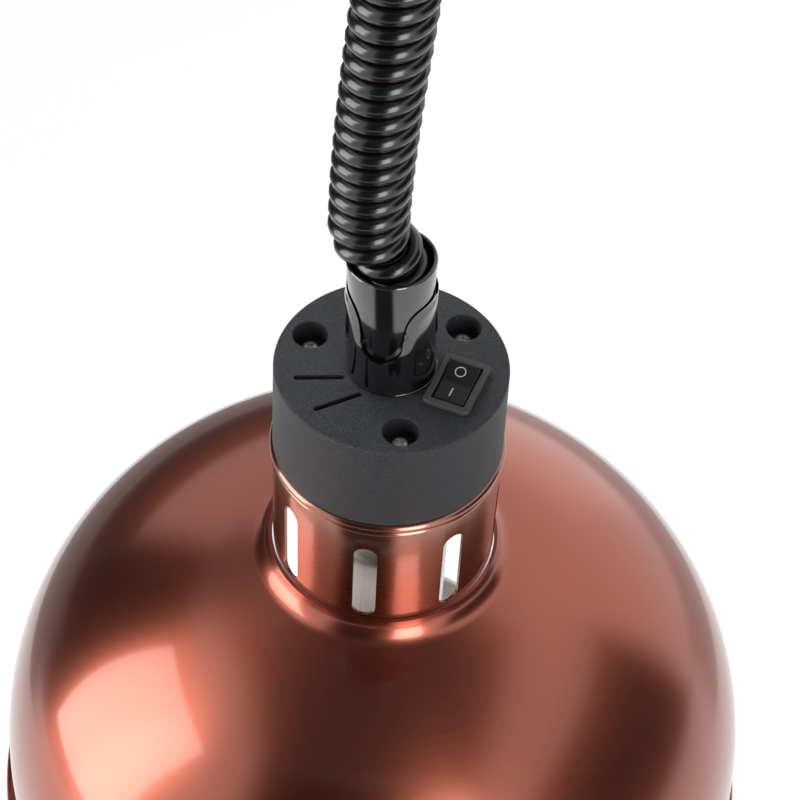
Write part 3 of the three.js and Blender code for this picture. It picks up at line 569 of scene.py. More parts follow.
finishes = {
    "copperDome": copperFinish("copper_dome", copperLook, 0.000005, 0.14),
    "copperNeckPaintedShade": copperFinish("copper_neck_painted_shade", neckLookPaintedShade, 0.000004, 0.12),
    "cap": grainedPlastic("cap_plastic", (0.014, 0.0155, 0.0195), (0.068, 0.072, 0.081),
                          0.5, 1900, 0.0002, 2.2),
    "collar": polishedPlastic("collar_plastic", (0.003, 0.0032, 0.0045), 0.1, 0.00003, 1.0),
    "sheath": polishedPlastic("cord_sheath", (0.0032, 0.004, 0.0056), 0.2, 0.00012, 0.3),
    "switch": grainedPlastic("switch_plastic", (0.05, 0.051, 0.053), (0.092, 0.094, 0.097),
                             0.46, 5200, 0.00006),
    "rocker": polishedPlastic("rocker_plastic", (0.01, 0.0108, 0.012), 0.36, 0.00001),
    "grip": grainedPlastic("grip_plastic", (0.012, 0.012, 0.013), (0.022, 0.022, 0.024),
                           0.5, 1800, 0.00004),
    "ink": whiteInk(),
    "zinc": platedMetal("zinc_plate", (0.5, 0.51, 0.5), (0.78, 0.79, 0.77), 0.3, 900),
    "screw": platedMetal("bright_screw", (0.66, 0.68, 0.67), (0.98, 0.98, 0.96), 0.42, 1500),
    "bare": platedMetal("bare_spun_metal", (0.7, 0.69, 0.67), (0.9, 0.89, 0.87), 0.34, 120),
    "sheet": platedMetal("galvanised_sheet", (0.42, 0.43, 0.44), (0.62, 0.63, 0.64), 0.42, 160),
    "brass": platedMetal("brass", (0.55, 0.38, 0.14), (0.78, 0.58, 0.26), 0.3, 320),
    "bulbCap": platedMetal("bulb_cap_metal", (0.5, 0.49, 0.46), (0.72, 0.71, 0.68), 0.34, 420),
    "tungsten": platedMetal("tungsten", (0.18, 0.18, 0.19), (0.3, 0.3, 0.31), 0.5, 2000),
    "porcelain": porcelain(),
    "reflector": reflectorGlass(),
    "frosted": frostedGlass(),
    "clear": clearGlass(),
    "brown": insulation("brown_insulation", (0.12, 0.05, 0.022), (0.19, 0.085, 0.04)),
    "blue": insulation("blue_insulation", (0.02, 0.07, 0.26), (0.035, 0.11, 0.36)),
    "green": insulation("green_insulation", (0.04, 0.2, 0.04), (0.06, 0.28, 0.06), (0.68, 0.55, 0.04)),
}
print("finishes mixed")


def finishCord(cord, route):
    dress(cord, finishes["sheath"], "head", "cord_black", "curly_cord", smooth=60)
    cord.parent = None
    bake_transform(cord)
    # Each corner finds its nearest ring on the route and that ring's share of the coil's height, counted
    # from the top.
    span = route[-1].z - route[0].z
    rings = KDTree(len(route))
    for index, place in enumerate(route):
        rings.insert(place, index)
    rings.balance()
    shares = [(route[-1].z - rings.find(corner.co)[0].z) / span for corner in cord.data.vertices]


finishCord(cord, route)
print("cord laid")

# The cap: drafted side, rounded top edge, three sunk screws, two vents and the switch's opening

cap = {
    "topRadius": 0.036,
    "footRadius": 0.0365,
    "height": 0.0333,
    "edge": 0.0008,
    "wall": 0.0022,
    "roof": 0.0026,
    "mouthRadius": 0.0106,
    "screwRadius": 0.0274,  # of the circle that the screws stand on
    "screwAngles": (-81.8, 38.2, 158.2),
    "boreRadius": 0.0055,
    "boreDepth": 0.0074,
    "boreLip": 0.0003,
    "postWall": 0.0015,
    "shankHole": 0.0018,
    "ventWidth": 0.0018,
    "ventFrom": 0.0154,
    "ventTo": 0.0304,
    "ventAngles": ((204.7, 195.9), (235.3, 223.1)),
}

switch = {
    "angle": -22.2,
    "radius": 0.02155,  # from the cap's middle to the bezel's
    "facing": -19.9,
    "width": 0.0148,
    "length": 0.0212,
    "corner": 0.0016,
    "proud": 0.002,
    "rim": 0.0021,
    "edge": 0.0005,
    "bodyInset": 0.0011,
    "depth": 0.017,
    "wellDepth": 0.007,
    "pivot": 0.0003,
    "turn": 9,
}


def switchPlace(height=0.0):
    return shiftBy(*polar(switch["radius"], switch["angle"]), capTop + height) @ turnBy(switch["facing"])


def boreCutter(place):
    lip = cap["boreLip"]
    profile = [(0, -cap["boreDepth"]), (cap["boreRadius"], -cap["boreDepth"]), (cap["boreRadius"], -lip)]
    profile += [(cap["boreRadius"] + lip, 0), (cap["boreRadius"] + lip, cap["roof"]), (0, cap["roof"])]
    return settle(turnPiece("bore", profile, 48), shiftBy(*place, capTop))


def holeCutter(radius, place, low, high, steps=32):
    cutter = turnPiece("hole", [(0, low), (radius, low), (radius, high), (0, high)], steps)
    return settle(cutter, shiftBy(*place, capTop))


def slotOutline(start, end, width, steps=10):
    along = math.degrees(math.atan2(end[1] - start[1], end[0] - start[0]))
    outline = arcLine(end, width / 2, along - 90, along + 90, steps)
    return outline + arcLine(start, width / 2, along + 90, along + 270, steps)


def ventCutter(near, far):
    inset = cap["ventWidth"] / 2
    start, end = polar(cap["ventFrom"] + inset, near), polar(cap["ventTo"] - inset, far)
    outline = slotOutline(start, end, cap["ventWidth"])
    return lift(extrudeOutline("vent", outline, 3 * cap["roof"]), capTop - 2 * cap["roof"])


def makeCap():
    c = cap
    edge = arcLine((c["topRadius"] - c["edge"], -c["edge"]), c["edge"], 0, 90, 6)
    profile = [
        (c["mouthRadius"], 0),
        (c["mouthRadius"], -c["roof"]),
        (c["topRadius"] - c["wall"], -c["roof"]),
        (c["footRadius"] - c["wall"], -c["height"]),
        (c["footRadius"] - touching, -c["height"]),
        (c["footRadius"], touching - c["height"]),
        *edge,
    ]
    shell = lift(turnPiece("cap_shell", profile, 160), capTop)
    places = [polar(c["screwRadius"], angle) for angle in c["screwAngles"]]
    posts = [holeCutter(c["boreRadius"] + c["postWall"], place, -c["height"], -c["roof"] / 2, 48)
             for place in places]
    combine("UNION", shell, joinPieces("posts", *posts))
    cutters = [boreCutter(place) for place in places]
    for place in places:
        cutters.append(holeCutter(c["shankHole"], place, -2 * c["height"], -c["boreDepth"] / 2))
    cutters += [ventCutter(near, far) for near, far in c["ventAngles"]]
    width, length = switch["width"] - 2 * switch["bodyInset"], switch["length"] - 2 * switch["bodyInset"]
    cutters.append(boxPiece("window", (width, length, 4 * c["roof"]), switchPlace()))
    return dress(carve(shell, *cutters), finishes["cap"], "head", "cap_black", "head_cap", crisp=True)


makeCap()
print("cap turned")

capScrew = {
    "headRadius": 0.0028,
    "headHeight": 0.002,
    "shankRadius": 0.0015,
    "seat": -0.0071,
    "foot": -0.0383,
    "edge": 0.0012,
    "tip": 0.7,  # of the shank's radius
    "crossWidth": 0.0008,
    "crossReach": 0.0019,
    "crossDepth": 0.0012,
}


def crossCutter(size, top):
    blade = (2 * size["crossReach"], size["crossWidth"], 2 * size["crossDepth"])
    return [boxPiece("blade", blade, shiftBy(0, 0, top) @ turnBy(turned)) for turned in (0, 90)]


def screwBlank(name, size):  # a pan head with a crossed recess, head's foot at height 0
    low = size["foot"] - size["seat"]
    head, high = size["headRadius"], size["headHeight"]
    shank, edge = size["shankRadius"], size["edge"]
    rounded = arcLine((head - edge, high - edge), edge, 0, 80, 5)
    tip = [(0, low), (shank * size["tip"], low), (shank, low + shank / 2)]
    profile = tip + [(shank, 0), (head, 0), *rounded, (0, high)]
    screw = turnPiece(name, profile, 40)
    return carve(screw, *crossCutter(size, high))


def makeCapScrews():
    blank = screwBlank("screw_blank", capScrew)
    for index, angle in enumerate(cap["screwAngles"]):
        place = shiftBy(*polar(cap["screwRadius"], angle), capTop + capScrew["seat"])
        screw = copyPiece(blank, f"pan_screw_{index + 1}", place @ turnBy(35 + 50 * index))
        dress(screw, finishes["screw"], "head", "zinc", f"cap_screw_{index + 1}")
    bpy.data.objects.remove(blank, do_unlink=True)


makeCapScrews()

# The collar: a notched skirt round a flared sleeve, both leaning a little with the cord

collar = {
    "lean": 1.6,
    "offset": -0.0003,
    "skirtRadius": 0.01385,
    "skirtTopRadius": 0.0137,
    "skirtHeight": 0.033,
    "skirtFillet": 0.0003,
    "notchAngle": -102,
    "notchRadius": 0.0064,
    "notchStraight": 0.02,
    "notchSpread": 0.0062,
    "thinning": 0.78,  # of the wall, lost at the notch's edge
    "thinWidth": 0.0034,
    "sleeveRadius": 0.0122,
    "mouthRadius": 0.0133,
    "sleeveHeight": 0.0447,
    "flareFrom": 0.024,
    "wall": 0.0012,
    "floor": 0.019,
    "edge": 0.0001,
    "threadRadius": 0.0098,
    "threadLength": 0.014,
    "seat": 0.00099,
}


def leaning():
    return shiftBy(collar["offset"], 0, capTop) @ turnBy(-collar["lean"], "Y")


def makeSleeve():
    c = collar
    lip = c["wall"] / 2
    bore, throat = c["sleeveRadius"] - c["wall"], c["threadRadius"] - c["wall"]
    profile = [
        (c["threadRadius"], -c["threadLength"]),
        (c["threadRadius"], c["seat"]),
        (c["sleeveRadius"], c["seat"]),
        (c["sleeveRadius"], c["flareFrom"]),
        *arcLine((c["mouthRadius"] - lip, c["sleeveHeight"] - lip), lip, 0, 180, 8),
        (bore, c["flareFrom"]),
        (bore, c["floor"]),
        (throat, c["floor"]),
        (throat, -c["threadLength"]),
    ]
    sleeve = settle(turnPiece("flared_sleeve", profile, 128), leaning())
    return dress(sleeve, finishes["collar"], "head", "collar_black", "cord_sleeve")


def sleeveOutside(height):  # where the skirt's inner side lies
    share = max(height - collar["flareFrom"], 0) / (collar["sleeveHeight"] - collar["flareFrom"])
    return collar["sleeveRadius"] + touching + (collar["mouthRadius"] - collar["sleeveRadius"]) * share


def curveLine(start, control, end, steps):
    line = []
    for step in range(steps + 1):
        share = step / steps
        a = [between(p, q, share) for p, q in zip(start, control)]
        b = [between(p, q, share) for p, q in zip(control, end)]
        line.append(tuple(between(p, q, share) for p, q in zip(a, b)))
    return line


def evenSteps(start, end, steps):  # the points of a straight line after its start
    return [tuple(between(a, b, step / steps) for a, b in zip(start, end)) for step in range(1, steps + 1)]


def notchOutline():
    c = collar
    high, wide = c["skirtHeight"], c["notchRadius"] + c["notchSpread"]
    corner, foot = (-c["notchRadius"] - touching, high), (-c["notchRadius"], c["notchStraight"])
    left = curveLine((-wide, high), corner, foot, 10)
    right = [(-x, y) for x, y in reversed(left)]
    bottom = arcLine((0, c["notchStraight"]), c["notchRadius"], 180, 360, 20)
    return left + bottom[1:-1] + right + [(wide, high + c["wall"]), (-wide, high + c["wall"])]


def gapTo(here, start, end):  # from a point to a stretch of line
    nearest, share = intersect_point_line(here, start, end)
    return (here - (nearest.xy if 0 < share < 1 else start)).length


def thinTowardsNotch(skirt, notchTurn):  # before the cut, so that the skirt rolls down onto the sleeve
    c = collar
    line = [Vector(point) for point in notchOutline()]
    inner = c["sleeveRadius"] + touching
    for vertex in skirt.data.vertices:
        across, facing, height = notchTurn @ vertex.co
        radius = math.hypot(across, facing)
        if facing > 0 or radius < (inner + c["skirtTopRadius"]) / 2 or height < c["skirtFillet"]:
            continue
        here = Vector((across, height))
        gap = min(gapTo(here, a, b) for a, b in zip(line, line[1:]))
        within = abs(across) < notchHalfWidth(height)
        rising = smoothStep((height - c["notchStraight"] + c["thinWidth"]) / (2 * c["thinWidth"]))
        keep = 1 - c["thinning"] * rising * (1 if within else 1 - smoothStep(gap / c["thinWidth"]))
        base = sleeveOutside(height)
        scale = (base + (radius - base) * keep) / radius
        vertex.co.x *= scale
        vertex.co.y *= scale


def notchHalfWidth(height):
    wide = 0
    line = notchOutline()
    for (x0, y0), (x1, y1) in zip(line, line[1:] + line[:1]):
        if min(y0, y1) <= height <= max(y0, y1) and y0 != y1:
            wide = max(wide, x0 + (x1 - x0) * (height - y0) / (y1 - y0))
    return wide


def makeSkirt():
    c = collar
    inner = c["sleeveRadius"] + touching
    fillet = c["skirtFillet"]
    foot = arcLine((c["skirtRadius"] + fillet, touching + fillet), fillet, 270, 180, 5)
    profile = [
        (inner, -c["wall"]),
        (c["skirtRadius"] + fillet, -c["wall"]),
        *foot,
        *evenSteps(foot[-1], (c["skirtTopRadius"], c["skirtHeight"]), 48),
        *evenSteps((sleeveOutside(c["skirtHeight"]), c["skirtHeight"]), (inner, c["flareFrom"]), 9),
    ]
    skirt = turnPiece("notched_skirt", profile, 144)
    facing = c["notchAngle"] + 90
    thinTowardsNotch(skirt, turnBy(-facing).to_3x3())
    reach = 2 * c["skirtRadius"]
    notch = extrudeOutline("notch", notchOutline(), 2 * reach)
    settle(notch, turnBy(facing) @ turnBy(90, "X") @ shiftBy(0, 0, -reach))
    level = turnBy(c["lean"], "Y") @ shiftBy(0, 0, touching - reach / 2)
    ground = boxPiece("ground", (4 * reach, 4 * reach, reach), level)
    carve(carve(skirt, notch), ground)
    settle(roundEdges(skirt, c["edge"], 2, 50), leaning())
    return dress(skirt, finishes["collar"], "head", "collar_black", "collar_skirt", crisp=True)


makeSleeve()
makeSkirt()
print("collar turned")

# The rocker switch: a bezel with a sunk well, and a rocker marked O and I


def selectFlat(piece, height):  # in edit mode: the faces that lie at one height
    bpy.ops.mesh.select_all(action="DESELECT")
    bpy.ops.object.mode_set(mode="OBJECT")
    for face in piece.data.polygons:
        face.select = all(abs(piece.data.vertices[i].co.z - height) < sameSpot for i in face.vertices)
    bpy.ops.object.mode_set(mode="EDIT")
    bpy.ops.mesh.select_mode(type="FACE")


def makeBezel():
    s = switch
    deselect()
    bpy.ops.mesh.primitive_plane_add(size=1)
    bezel = nameIt("switch_bezel")
    bpy.ops.object.mode_set(mode="EDIT")
    bpy.ops.transform.resize(value=(s["width"], s["length"], 1))
    bpy.ops.mesh.bevel(offset=s["corner"], segments=6, affect="VERTICES")
    bpy.ops.mesh.select_all(action="SELECT")
    bpy.ops.mesh.extrude_region_move(TRANSFORM_OT_translate={"value": (0, 0, s["proud"] - touching)})
    selectFlat(bezel, 0)
    bpy.ops.mesh.inset(thickness=s["bodyInset"] - touching)
    bpy.ops.mesh.extrude_region_move(TRANSFORM_OT_translate={"value": (0, 0, -s["depth"] - touching)})
    bpy.ops.mesh.select_mode(type="VERT")
    cleanMesh()
    bpy.ops.object.mode_set(mode="OBJECT")
    well = (s["width"] - 2 * s["rim"], s["length"] - 2 * s["rim"], 2 * s["wellDepth"])
    carve(bezel, boxPiece("well", well, shiftBy(0, 0, s["proud"])))
    roundEdges(bezel, s["edge"], 3, 60)
    settle(bezel, switchPlace(touching))
    return dress(bezel, finishes["switch"], "head", "switch_black", "switch_housing", crisp=True)


rocker = {
    "reach": 0.0078,
    "width": 0.0098,
    "slope": 7,
    "waist": 0.0014,
    "belly": 0.0026,
    "bellyShare": 0.62,
    "dip": 0.08,  # half the rounded dip between the two faces, of the reach
    "dipRise": 0.00006,
    "edge": 0.0005,
    "ring": 0.00175,
    "ringLine": 0.0003,
    "ringPlace": 0.004,
    "barPlace": -0.0038,
    "barLength": 0.0029,
    "aside": -0.0004,
    "barWidth": 0.0004,
    "ink": 0.00002,
}


def rockerPlace():
    return switchPlace(switch["pivot"]) @ turnBy(switch["turn"], "X")


def makeRocker():
    r = rocker
    slope = math.radians(r["slope"])
    corner = math.degrees(math.asin(r["waist"] * math.cos(slope) / r["reach"]) + slope)
    low = -math.degrees(math.asin(r["belly"] / r["reach"])) / 2
    farEnd = arcLine((0, 0), r["reach"], low, corner, 8)
    valley = [(r["reach"] * r["dip"] * step, r["waist"] + abs(step) * r["dipRise"]) for step in (1, 0, -1)]
    nearEnd = [(-x, y) for x, y in reversed(farEnd)]
    belly = r["reach"] * r["bellyShare"]
    side = farEnd + valley + nearEnd + [(-belly, -r["belly"]), (belly, -r["belly"])]
    piece = extrudeOutline("rocker_key", side, r["width"])
    settle(piece, turnBy(90) @ turnBy(90, "X") @ shiftBy(0, 0, -r["width"] / 2))
    roundEdges(piece, r["edge"], 3, 50)
    settle(piece, rockerPlace())
    return dress(piece, finishes["rocker"], "rocker", "switch_black", "switch_rocker", crisp=True)


def onFace(along):  # a place on the rocker's face, level with it
    height = rocker["waist"] + abs(along) * math.tan(math.radians(rocker["slope"]))
    spot = shiftBy(rocker["aside"], along, height - rocker["ink"])
    return rockerPlace() @ spot @ turnBy(math.copysign(rocker["slope"], along), "X")


def makeMarks():
    r = rocker
    inner, high = r["ring"] - r["ringLine"], 3 * r["ink"]
    ring = turnPiece("mark_off", [(inner, 0), (r["ring"], 0), (r["ring"], high), (inner, high)], 64)
    settle(ring, onFace(r["ringPlace"]))
    half = r["barLength"] / 2
    bar = extrudeOutline("mark_on", slotOutline((0, -half), (0, half), r["barWidth"], 6), high)
    settle(bar, onFace(r["barPlace"]))
    for mark in (ring, bar):
        dress(mark, finishes["ink"], "rocker", "switch_black")


makeBezel()
makeRocker()
makeMarks()
print("switch built")

# The shade: slotted neck and dome, as two spun pieces

neck = {
    "radius": 0.0367,
    "wall": 0.0009,
    "top": -0.0336,
    "bead": 0.00175,
    "bulge": 0.0007,
    "shoulder": 0.0014,
    "hole": 0.021,
    "tail": 0.009,
    "slots": 8,
    "slotAngle": -97.5,
    "slotWidth": 0.0075,
    "slotTop": -0.0455,
    "slotHeight": 0.0339,
    "seam": 0.0015,  # from the slots down to the dome's lip
}

dome = {
    "radius": 0.1348,
    "rise": 0.115,
    "fullness": 2.27,
    "wall": 0.0012,
    "skirt": 0.017,
    "lipRadius": 0.0382,
    "lip": 0.0005,
    "shoulder": 0.0058,
    "rimBead": 0.0025,
    "sideSteps": 45,
    "clear": 0.0008,  # from the fillet to the nearest point of the side
}
domeTop = neck["slotTop"] - neck["slotHeight"] - neck["seam"]


def bareInside(piece, low, high, facing):  # the shade is coloured outside only
    piece.data.materials.append(finishes["bare"])
    for polygon in piece.data.polygons:
        inward = -polygon.normal.xy.dot(polygon.center.xy.normalized())
        if inward > facing and low < polygon.center.z < high:
            polygon.material_index = 1
    return piece


def makeNeck():
    n = neck
    beadCentre = (n["radius"] + n["bulge"] - n["bead"], n["top"] - n["bead"])
    under = (n["radius"] - n["shoulder"], beadCentre[1] - n["bead"] - n["shoulder"])
    inner = (beadCentre[0] - n["wall"], under[1] - n["shoulder"])
    profile = [
        (n["radius"], domeTop - n["tail"]),
        *arcLine(under, n["shoulder"], 0, 80, 10),
        *arcLine(beadCentre, n["bead"], -84, 90, 14),
        (n["hole"], n["top"]),
        (n["hole"], n["top"] - n["wall"]),
        (inner[0], n["top"] - n["wall"]),
        inner,
        (n["radius"] - n["wall"], inner[1] - n["wall"]),
        (n["radius"] - n["wall"], domeTop - n["tail"]),
    ]
    piece = lift(turnPiece("slotted_neck", profile, 192), capTop)
    low, high = n["slotTop"] - n["slotHeight"] + n["slotWidth"] / 2, n["slotTop"] - n["slotWidth"] / 2
    outline = slotOutline((0, low), (0, high), n["slotWidth"], 12)
    cutters = []
    for index in range(n["slots"]):
        cutter = extrudeOutline("slot", outline, n["radius"])
        stand = shiftBy(0, -n["radius"] / 2, capTop) @ turnBy(90, "X")
        cutters.append(settle(cutter, turnBy(n["slotAngle"] + 90 + 360 * index / n["slots"]) @ stand))
    carve(piece, *cutters)
    dress(piece, finishes["copperNeckPaintedShade"], "head", "copper_finish", "shade_neck")
    return bareInside(piece, capTop + domeTop - n["tail"], capTop + under[1], 0.5)


def domeHeight(radius):
    share = (radius / dome["radius"]) ** dome["fullness"]
    return dome["rise"] * (1 - share) ** (1 / dome["fullness"])


def domeSlope(radius):
    share = radius / dome["radius"]
    rest = (1 - share ** dome["fullness"]) ** (1 / dome["fullness"] - 1)
    return dome["rise"] / dome["radius"] * rest * share ** (dome["fullness"] - 1)


def makeDome():
    d = dome
    shoulder = d["lipRadius"] + d["shoulder"]
    slope = math.atan(domeSlope(shoulder))
    fillet = d["shoulder"] / (1 - math.sin(slope))
    filletTop = domeTop - d["lip"]
    widest = filletTop - fillet * math.cos(slope) - domeHeight(shoulder)
    rimCentre = (d["radius"] - d["wall"] + d["rimBead"], widest - d["skirt"])
    meeting = math.degrees(math.acos((d["wall"] - d["rimBead"]) / d["rimBead"]))
    side = []
    for step in range(d["sideSteps"]):
        rising = math.pi / 2 * step / d["sideSteps"]
        radius = d["radius"] * math.cos(rising) ** (2 / d["fullness"])
        if radius > shoulder + d["clear"]:
            side.append((radius, widest + domeHeight(radius)))
    side += arcLine((d["lipRadius"] + fillet, filletTop), fillet, 270 - math.degrees(slope), 180, 14)
    side.append((d["lipRadius"], domeTop))
    bead = arcLine(rimCentre, d["rimBead"], -180, meeting, 16)
    piece = lift(turnPiece("spun_dome", bead + wallBehind(side, d["wall"]), 256), capTop)
    dress(piece, finishes["copperDome"], "head", "copper_finish", "shade_dome")
    return bareInside(piece, capTop + widest - d["skirt"] + d["rimBead"], capTop + domeTop, 0.05)


makeNeck()
makeDome()
print("shade spun")

# The bulb and its holder, seen through the slots and from below

bulb = {
    "glassTop": -0.0701,
    "length": 0.139,
    "capRadius": 0.0132,
    "neckRadius": 0.0216,
    "neckLength": 0.048,
    "shoulder": 0.005,
    "radius": 0.0625,
    "face": 0.022,
    "faceRadius": 0.051,
    "crown": 0.004,
    "wall": 0.0012,
}

holder = {
    "radius": 0.021,
    "top": -0.0366,
    "height": 0.027,
    "floor": 0.0065,
    "chamfer": 0.0015,
    "bore": 0.0145,
}


def cubicLine(a, b, c, d, steps):
    line = []
    for step in range(1, steps + 1):
        s = step / steps
        weights = ((1 - s) ** 3, 3 * s * (1 - s) ** 2, 3 * s * s * (1 - s), s ** 3)
        line.append(tuple(sum(w * p[axis] for w, p in zip(weights, (a, b, c, d))) for axis in (0, 1)))
    return line


def makeBulb():
    b = bulb
    foot = b["glassTop"] - b["length"]
    widest = foot + b["face"]
    neckFoot = b["glassTop"] - b["shoulder"] - b["neckLength"]
    flare = neckFoot - widest
    line = curveLine((0, foot), (b["faceRadius"] / 2, foot), (b["faceRadius"], foot + b["crown"]), 12)
    line += cubicLine(line[-1], (b["radius"], foot + 2 * b["crown"]), (b["radius"], widest - b["crown"]),
                      (b["radius"], widest), 14)
    faceEnd = len(line)
    line += cubicLine(line[-1], (b["radius"], widest + flare / 3), (b["neckRadius"], neckFoot - flare / 2),
                      (b["neckRadius"], neckFoot), 30)
    shoulder = curveLine((b["neckRadius"], b["glassTop"] - b["shoulder"]), (b["neckRadius"], b["glassTop"]),
                         (b["capRadius"], b["glassTop"]), 8)
    profile = wallBehind(line + shoulder, b["wall"])
    profile[-1] = (0, profile[-1][1])
    glass = lift(turnPiece("bulb_envelope", profile, 128), capTop)
    dress(glass, finishes["reflector"], "head", "bulb_glass", "bulb_glass", smooth=50)
    glass.data.materials.append(finishes["frosted"])
    faceTop = capTop + line[faceEnd - 1][1]
    for polygon in glass.data.polygons:
        if polygon.center.z < faceTop - touching:
            polygon.material_index = 1
    return glass


def makeHolder():
    h = holder
    foot = h["top"] - h["height"]
    profile = [
        (0, h["top"]),
        (h["radius"] - h["chamfer"], h["top"]),
        *arcLine((h["radius"] - h["chamfer"], h["top"] - h["chamfer"]), h["chamfer"], 80, 0, 5),
        *arcLine((h["radius"] - h["chamfer"], foot + h["chamfer"]), h["chamfer"], 0, -90, 5),
        (h["bore"], foot),
        (h["bore"], h["top"] - h["floor"]),
        (0, h["top"] - h["floor"]),
    ]
    body = lift(turnPiece("holder_porcelain", profile, 72), capTop)
    return dress(body, finishes["porcelain"], "head", "ceramic", "lampholder_body")


makeBulb()
makeHolder()
print("bulb blown")

# The canopy on the ceiling

canopy = {
    "radius": 0.055,
    "height": 0.034,
    "wall": 0.0012,
    "corner": 0.009,
    "hole": 0.0065,
    "screwHole": 0.0018,
}


def makeCanopy():
    c = canopy
    line = [
        (c["hole"], -c["height"]),
        *arcLine((c["radius"] - c["corner"], c["corner"] - c["height"]), c["corner"], -90, 0, 14),
        (c["radius"], 0),
    ]
    cup = turnPiece("canopy_shell", wallBehind(line, c["wall"]), 144)
    low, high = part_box("canopy_screw_right")
    middle = (low[2] + high[2]) / 2
    wide, reach = c["screwHole"], c["radius"] * 1.1
    rodHole = turnPiece("hole", [(0, -reach), (wide, -reach), (wide, reach), (0, reach)], 24)
    settle(rodHole, shiftBy(0, 0, middle) @ turnBy(90, "Y"))
    return dress(carve(cup, rodHole), finishes["collar"], "ceiling", "collar_black", "canopy_cup")


gland = {
    "seat": -0.0343,
    "thread": 0.009,
    "radius": 0.0062,
    "flangeRadius": 0.011,
    "flange": 0.0025,
    "tipRadius": 0.0046,
    "rootRadius": 0.00745,
    "edge": 0.0005,
    "grooves": 5,  # bending grooves round the tapered relief
    "grooveDepth": 0.0006,
}


def makeGland():
    g = gland
    flangeFoot = g["seat"] - g["flange"]
    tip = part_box("canopy_gland")[0][2]
    grooves = []
    for index in range(g["grooves"]):
        for share, depth in ((0.25, 0), (0.4, g["grooveDepth"]), (0.7, g["grooveDepth"]), (0.85, 0)):
            part = (index + share) / g["grooves"]
            radius = between(g["rootRadius"], g["tipRadius"], part) - depth
            grooves.append((radius, between(flangeFoot, tip, part)))
    edge = g["edge"]
    profile = [
        (0, g["seat"] + g["thread"]),
        (g["radius"], g["seat"] + g["thread"]),
        (g["radius"], g["seat"]),
        (g["flangeRadius"], g["seat"]),
        (g["flangeRadius"], flangeFoot + edge),
        (g["flangeRadius"] - edge, flangeFoot),
        (g["rootRadius"], flangeFoot),
        *grooves,
        (g["tipRadius"], tip),
        (0, tip),
    ]
    piece = turnPiece("cord_gland", profile, 64)
    return dress(piece, finishes["grip"], "ceiling", "grip_black", "canopy_gland")


makeCanopy()
makeGland()
print("canopy pressed")

# CAD nodes that stay, with their finishes

kept = {
    "sheet": ["ceiling_plate", "holder_plate"],
    "zinc": ["canopy_screw_left", "canopy_screw_right", "gland_nut", "sleeve_nut", "holder_screw_1",
             "holder_screw_2", "earth_screw"],
    "porcelain": ["terminal_block"],
    "grip": ["cord_grip"],
    "brass": ["switch_terminal_1", "switch_terminal_2", "lampholder_shell", "lampholder_contact",
              "bulb_contact"],
    "bulbCap": ["bulb_cap"],
    "collar": ["bulb_insulator"],
    "clear": ["bulb_stem"],
    "tungsten": ["bulb_filament"],
    "brown": ["wire_live", "wire_switched", "canopy_wire_live"],
    "blue": ["wire_neutral", "canopy_wire_neutral"],
    "green": ["wire_earth", "canopy_wire_earth"],
}
for finish, nodes in kept.items():
    for node in nodes:
        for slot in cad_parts[node].material_slots:
            slot.material = finishes[finish]

# Floor, backdrop and lamps

studio = {
    "floor": -1.34,
    "floorSize": 14,
    "floorGlow": 1.07,
    "floorShare": 0.88,  # of the glow in what the camera and the mirrors see of the floor
    "world": 0.34,
    "softEdge": 0.2,  # of a card's width, over which it fades out
    "centre": (0, 0, -0.12),  # from the cap's top, where lamps and cards aim
    "lamps": {  # azimuth, elevation, distance, width, height, power
        "left": (-172, 14, 1.0, 0.6, 1.0, 8.0),
        "right": (-66, 16, 1.1, 0.4, 1.0, 6.4),
        "back": (132, 48, 1.1, 0.5, 0.5, 6.4),
    },
    "cards": {  # azimuth, elevation, distance, width and height in degrees, glow
        "left_wall": (162.5, 12, 2.2, 60, 78, 0.02),
        "left_low": (124, -32, 1.7, 76, 48, 0.26),
        "left_sky": (116, 26, 2.6, 46, 44, 0.78),
        "left_band": (118, -2, 2.1, 60, 32, 0.02),
        "front_wall": (-102, 20, 2.3, 62, 96, 0.02),
        "front_low": (-105, -44, 0.95, 48, 50, 0.02),
        "right_wall": (-6, 14, 2.5, 66, 56, 0.03),
        "right_low": (57, -30, 1.8, 70, 44, 0.45),
        "right_sky": (73, 2, 2.3, 44, 44, 1.25),
        "top": (110, 60, 2.4, 64, 46, 0.26),
        "above": (-90, 84, 2.2, 70, 60, 0.1),
    },
}


def aimed(azimuth, elevation, distance):  # turned to face the lamp's head
    flat, high = polar(distance, elevation)
    away = Vector((*polar(flat, azimuth), high))
    centre = Vector(studio["centre"]) + Vector((0, 0, capTop))
    return shiftBy(*(centre + away)) @ away.to_track_quat("Z", "Y").to_matrix().to_4x4()


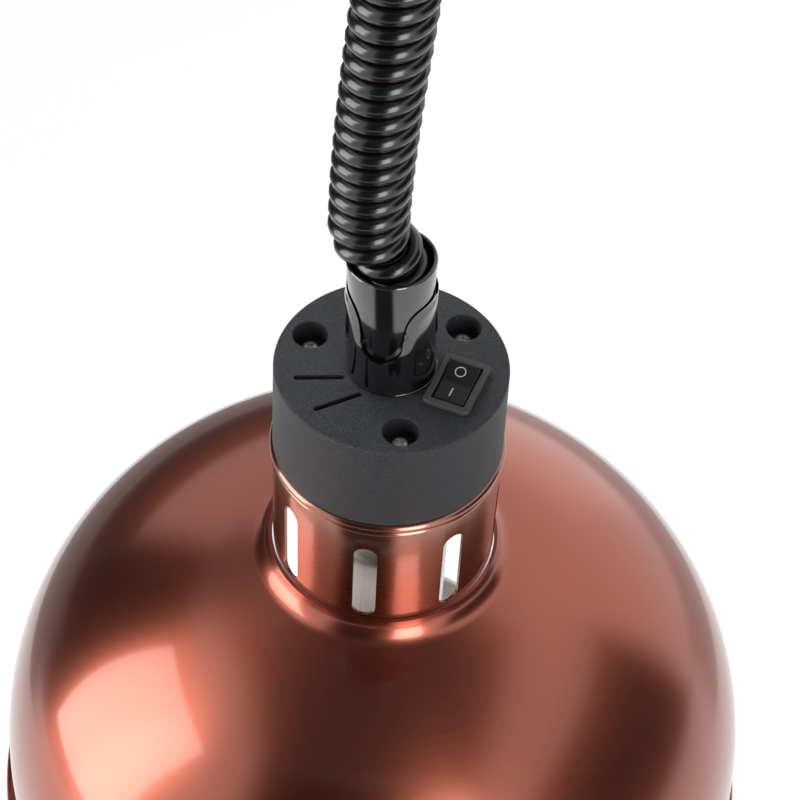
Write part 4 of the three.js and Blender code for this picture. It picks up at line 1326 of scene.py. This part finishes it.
def makeFloor():
    deselect()
    bpy.ops.mesh.primitive_plane_add(size=studio["floorSize"], location=(0, 0, studio["floor"]))
    floor = nameIt("floor")
    pale = Finish("floor_paper", (0.9, 0.9, 0.9), 0.9)
    tooth = pale.noise(40, 2)
    pale.feed("Roughness", 0.85 + tooth * 0.1)
    glow = pale.node("Emission", values={"Color": (1, 1, 1, 1), "Strength": studio["floorGlow"]})
    pale.show(pale.seen() * studio["floorShare"], Wire(pale, pale.shader.outputs[0]), glow)
    floor.data.materials.append(pale.material)


def makeWorld():
    world = bpy.data.worlds.new("studio")
    bpy.context.scene.world = world
    world.use_nodes = True
    sky = Nodes(world.node_tree)
    back = sky.tree.nodes["Background"]
    back.inputs["Color"].default_value = (1, 1, 1, 1)
    sky.put(back.inputs["Strength"], studio["world"] + sky.seen() * (1 - studio["world"]))


def makeLamps():
    for name, (*place, width, height, power) in studio["lamps"].items():
        data = bpy.data.lights.new(name, "AREA")
        data.shape = "RECTANGLE"
        data.size, data.size_y = width, height
        data.energy = power
        lamp = link(name, data)
        lamp.matrix_world = aimed(*place)
        lamp.visible_glossy = name != "back"  # that one only lights, so the dome's left side stays calm


def makeCards():  # cards of dark and grey cloth round the lamp, for the metal to mirror
    for name, (azimuth, elevation, distance, wide, high, glow) in studio["cards"].items():
        cloth = Finish(name, (0.01, 0.01, 0.011), 0.9, Emission_Color=(1, 1, 1, 1), Emission_Strength=glow)
        nap = cloth.noise(60, 3)
        cloth.feed("Base Color", cloth.shades(nap, (0.006, 0.006, 0.007), (0.014, 0.014, 0.015)))
        x, y, z = cloth.parts()
        edge = cloth.sum("MINIMUM", *[0.5 - cloth.sum("ABSOLUTE", part) for part in (x, y)])
        ramp = {"interpolation_type": "SMOOTHSTEP"}
        soft = cloth.node("MapRange", ramp, {"Value": edge, "From Max": studio["softEdge"]})
        cloth.show(soft, cloth.node("BsdfTransparent"), Wire(cloth, cloth.shader.outputs[0]))
        deselect()
        bpy.ops.mesh.primitive_plane_add(size=1)
        card = nameIt(name)
        width, height = (2 * distance * math.tan(math.radians(angle / 2)) for angle in (wide, high))
        card.matrix_world = aimed(azimuth, elevation, distance) @ Matrix.Diagonal((width, height, 1, 1))
        card.data.materials.append(cloth.material)
        card.visible_camera = False
        card.visible_shadow = False


makeFloor()
makeWorld()
makeLamps()
makeCards()
bpy.context.scene.view_settings.view_transform = "Standard"
print("studio lit")
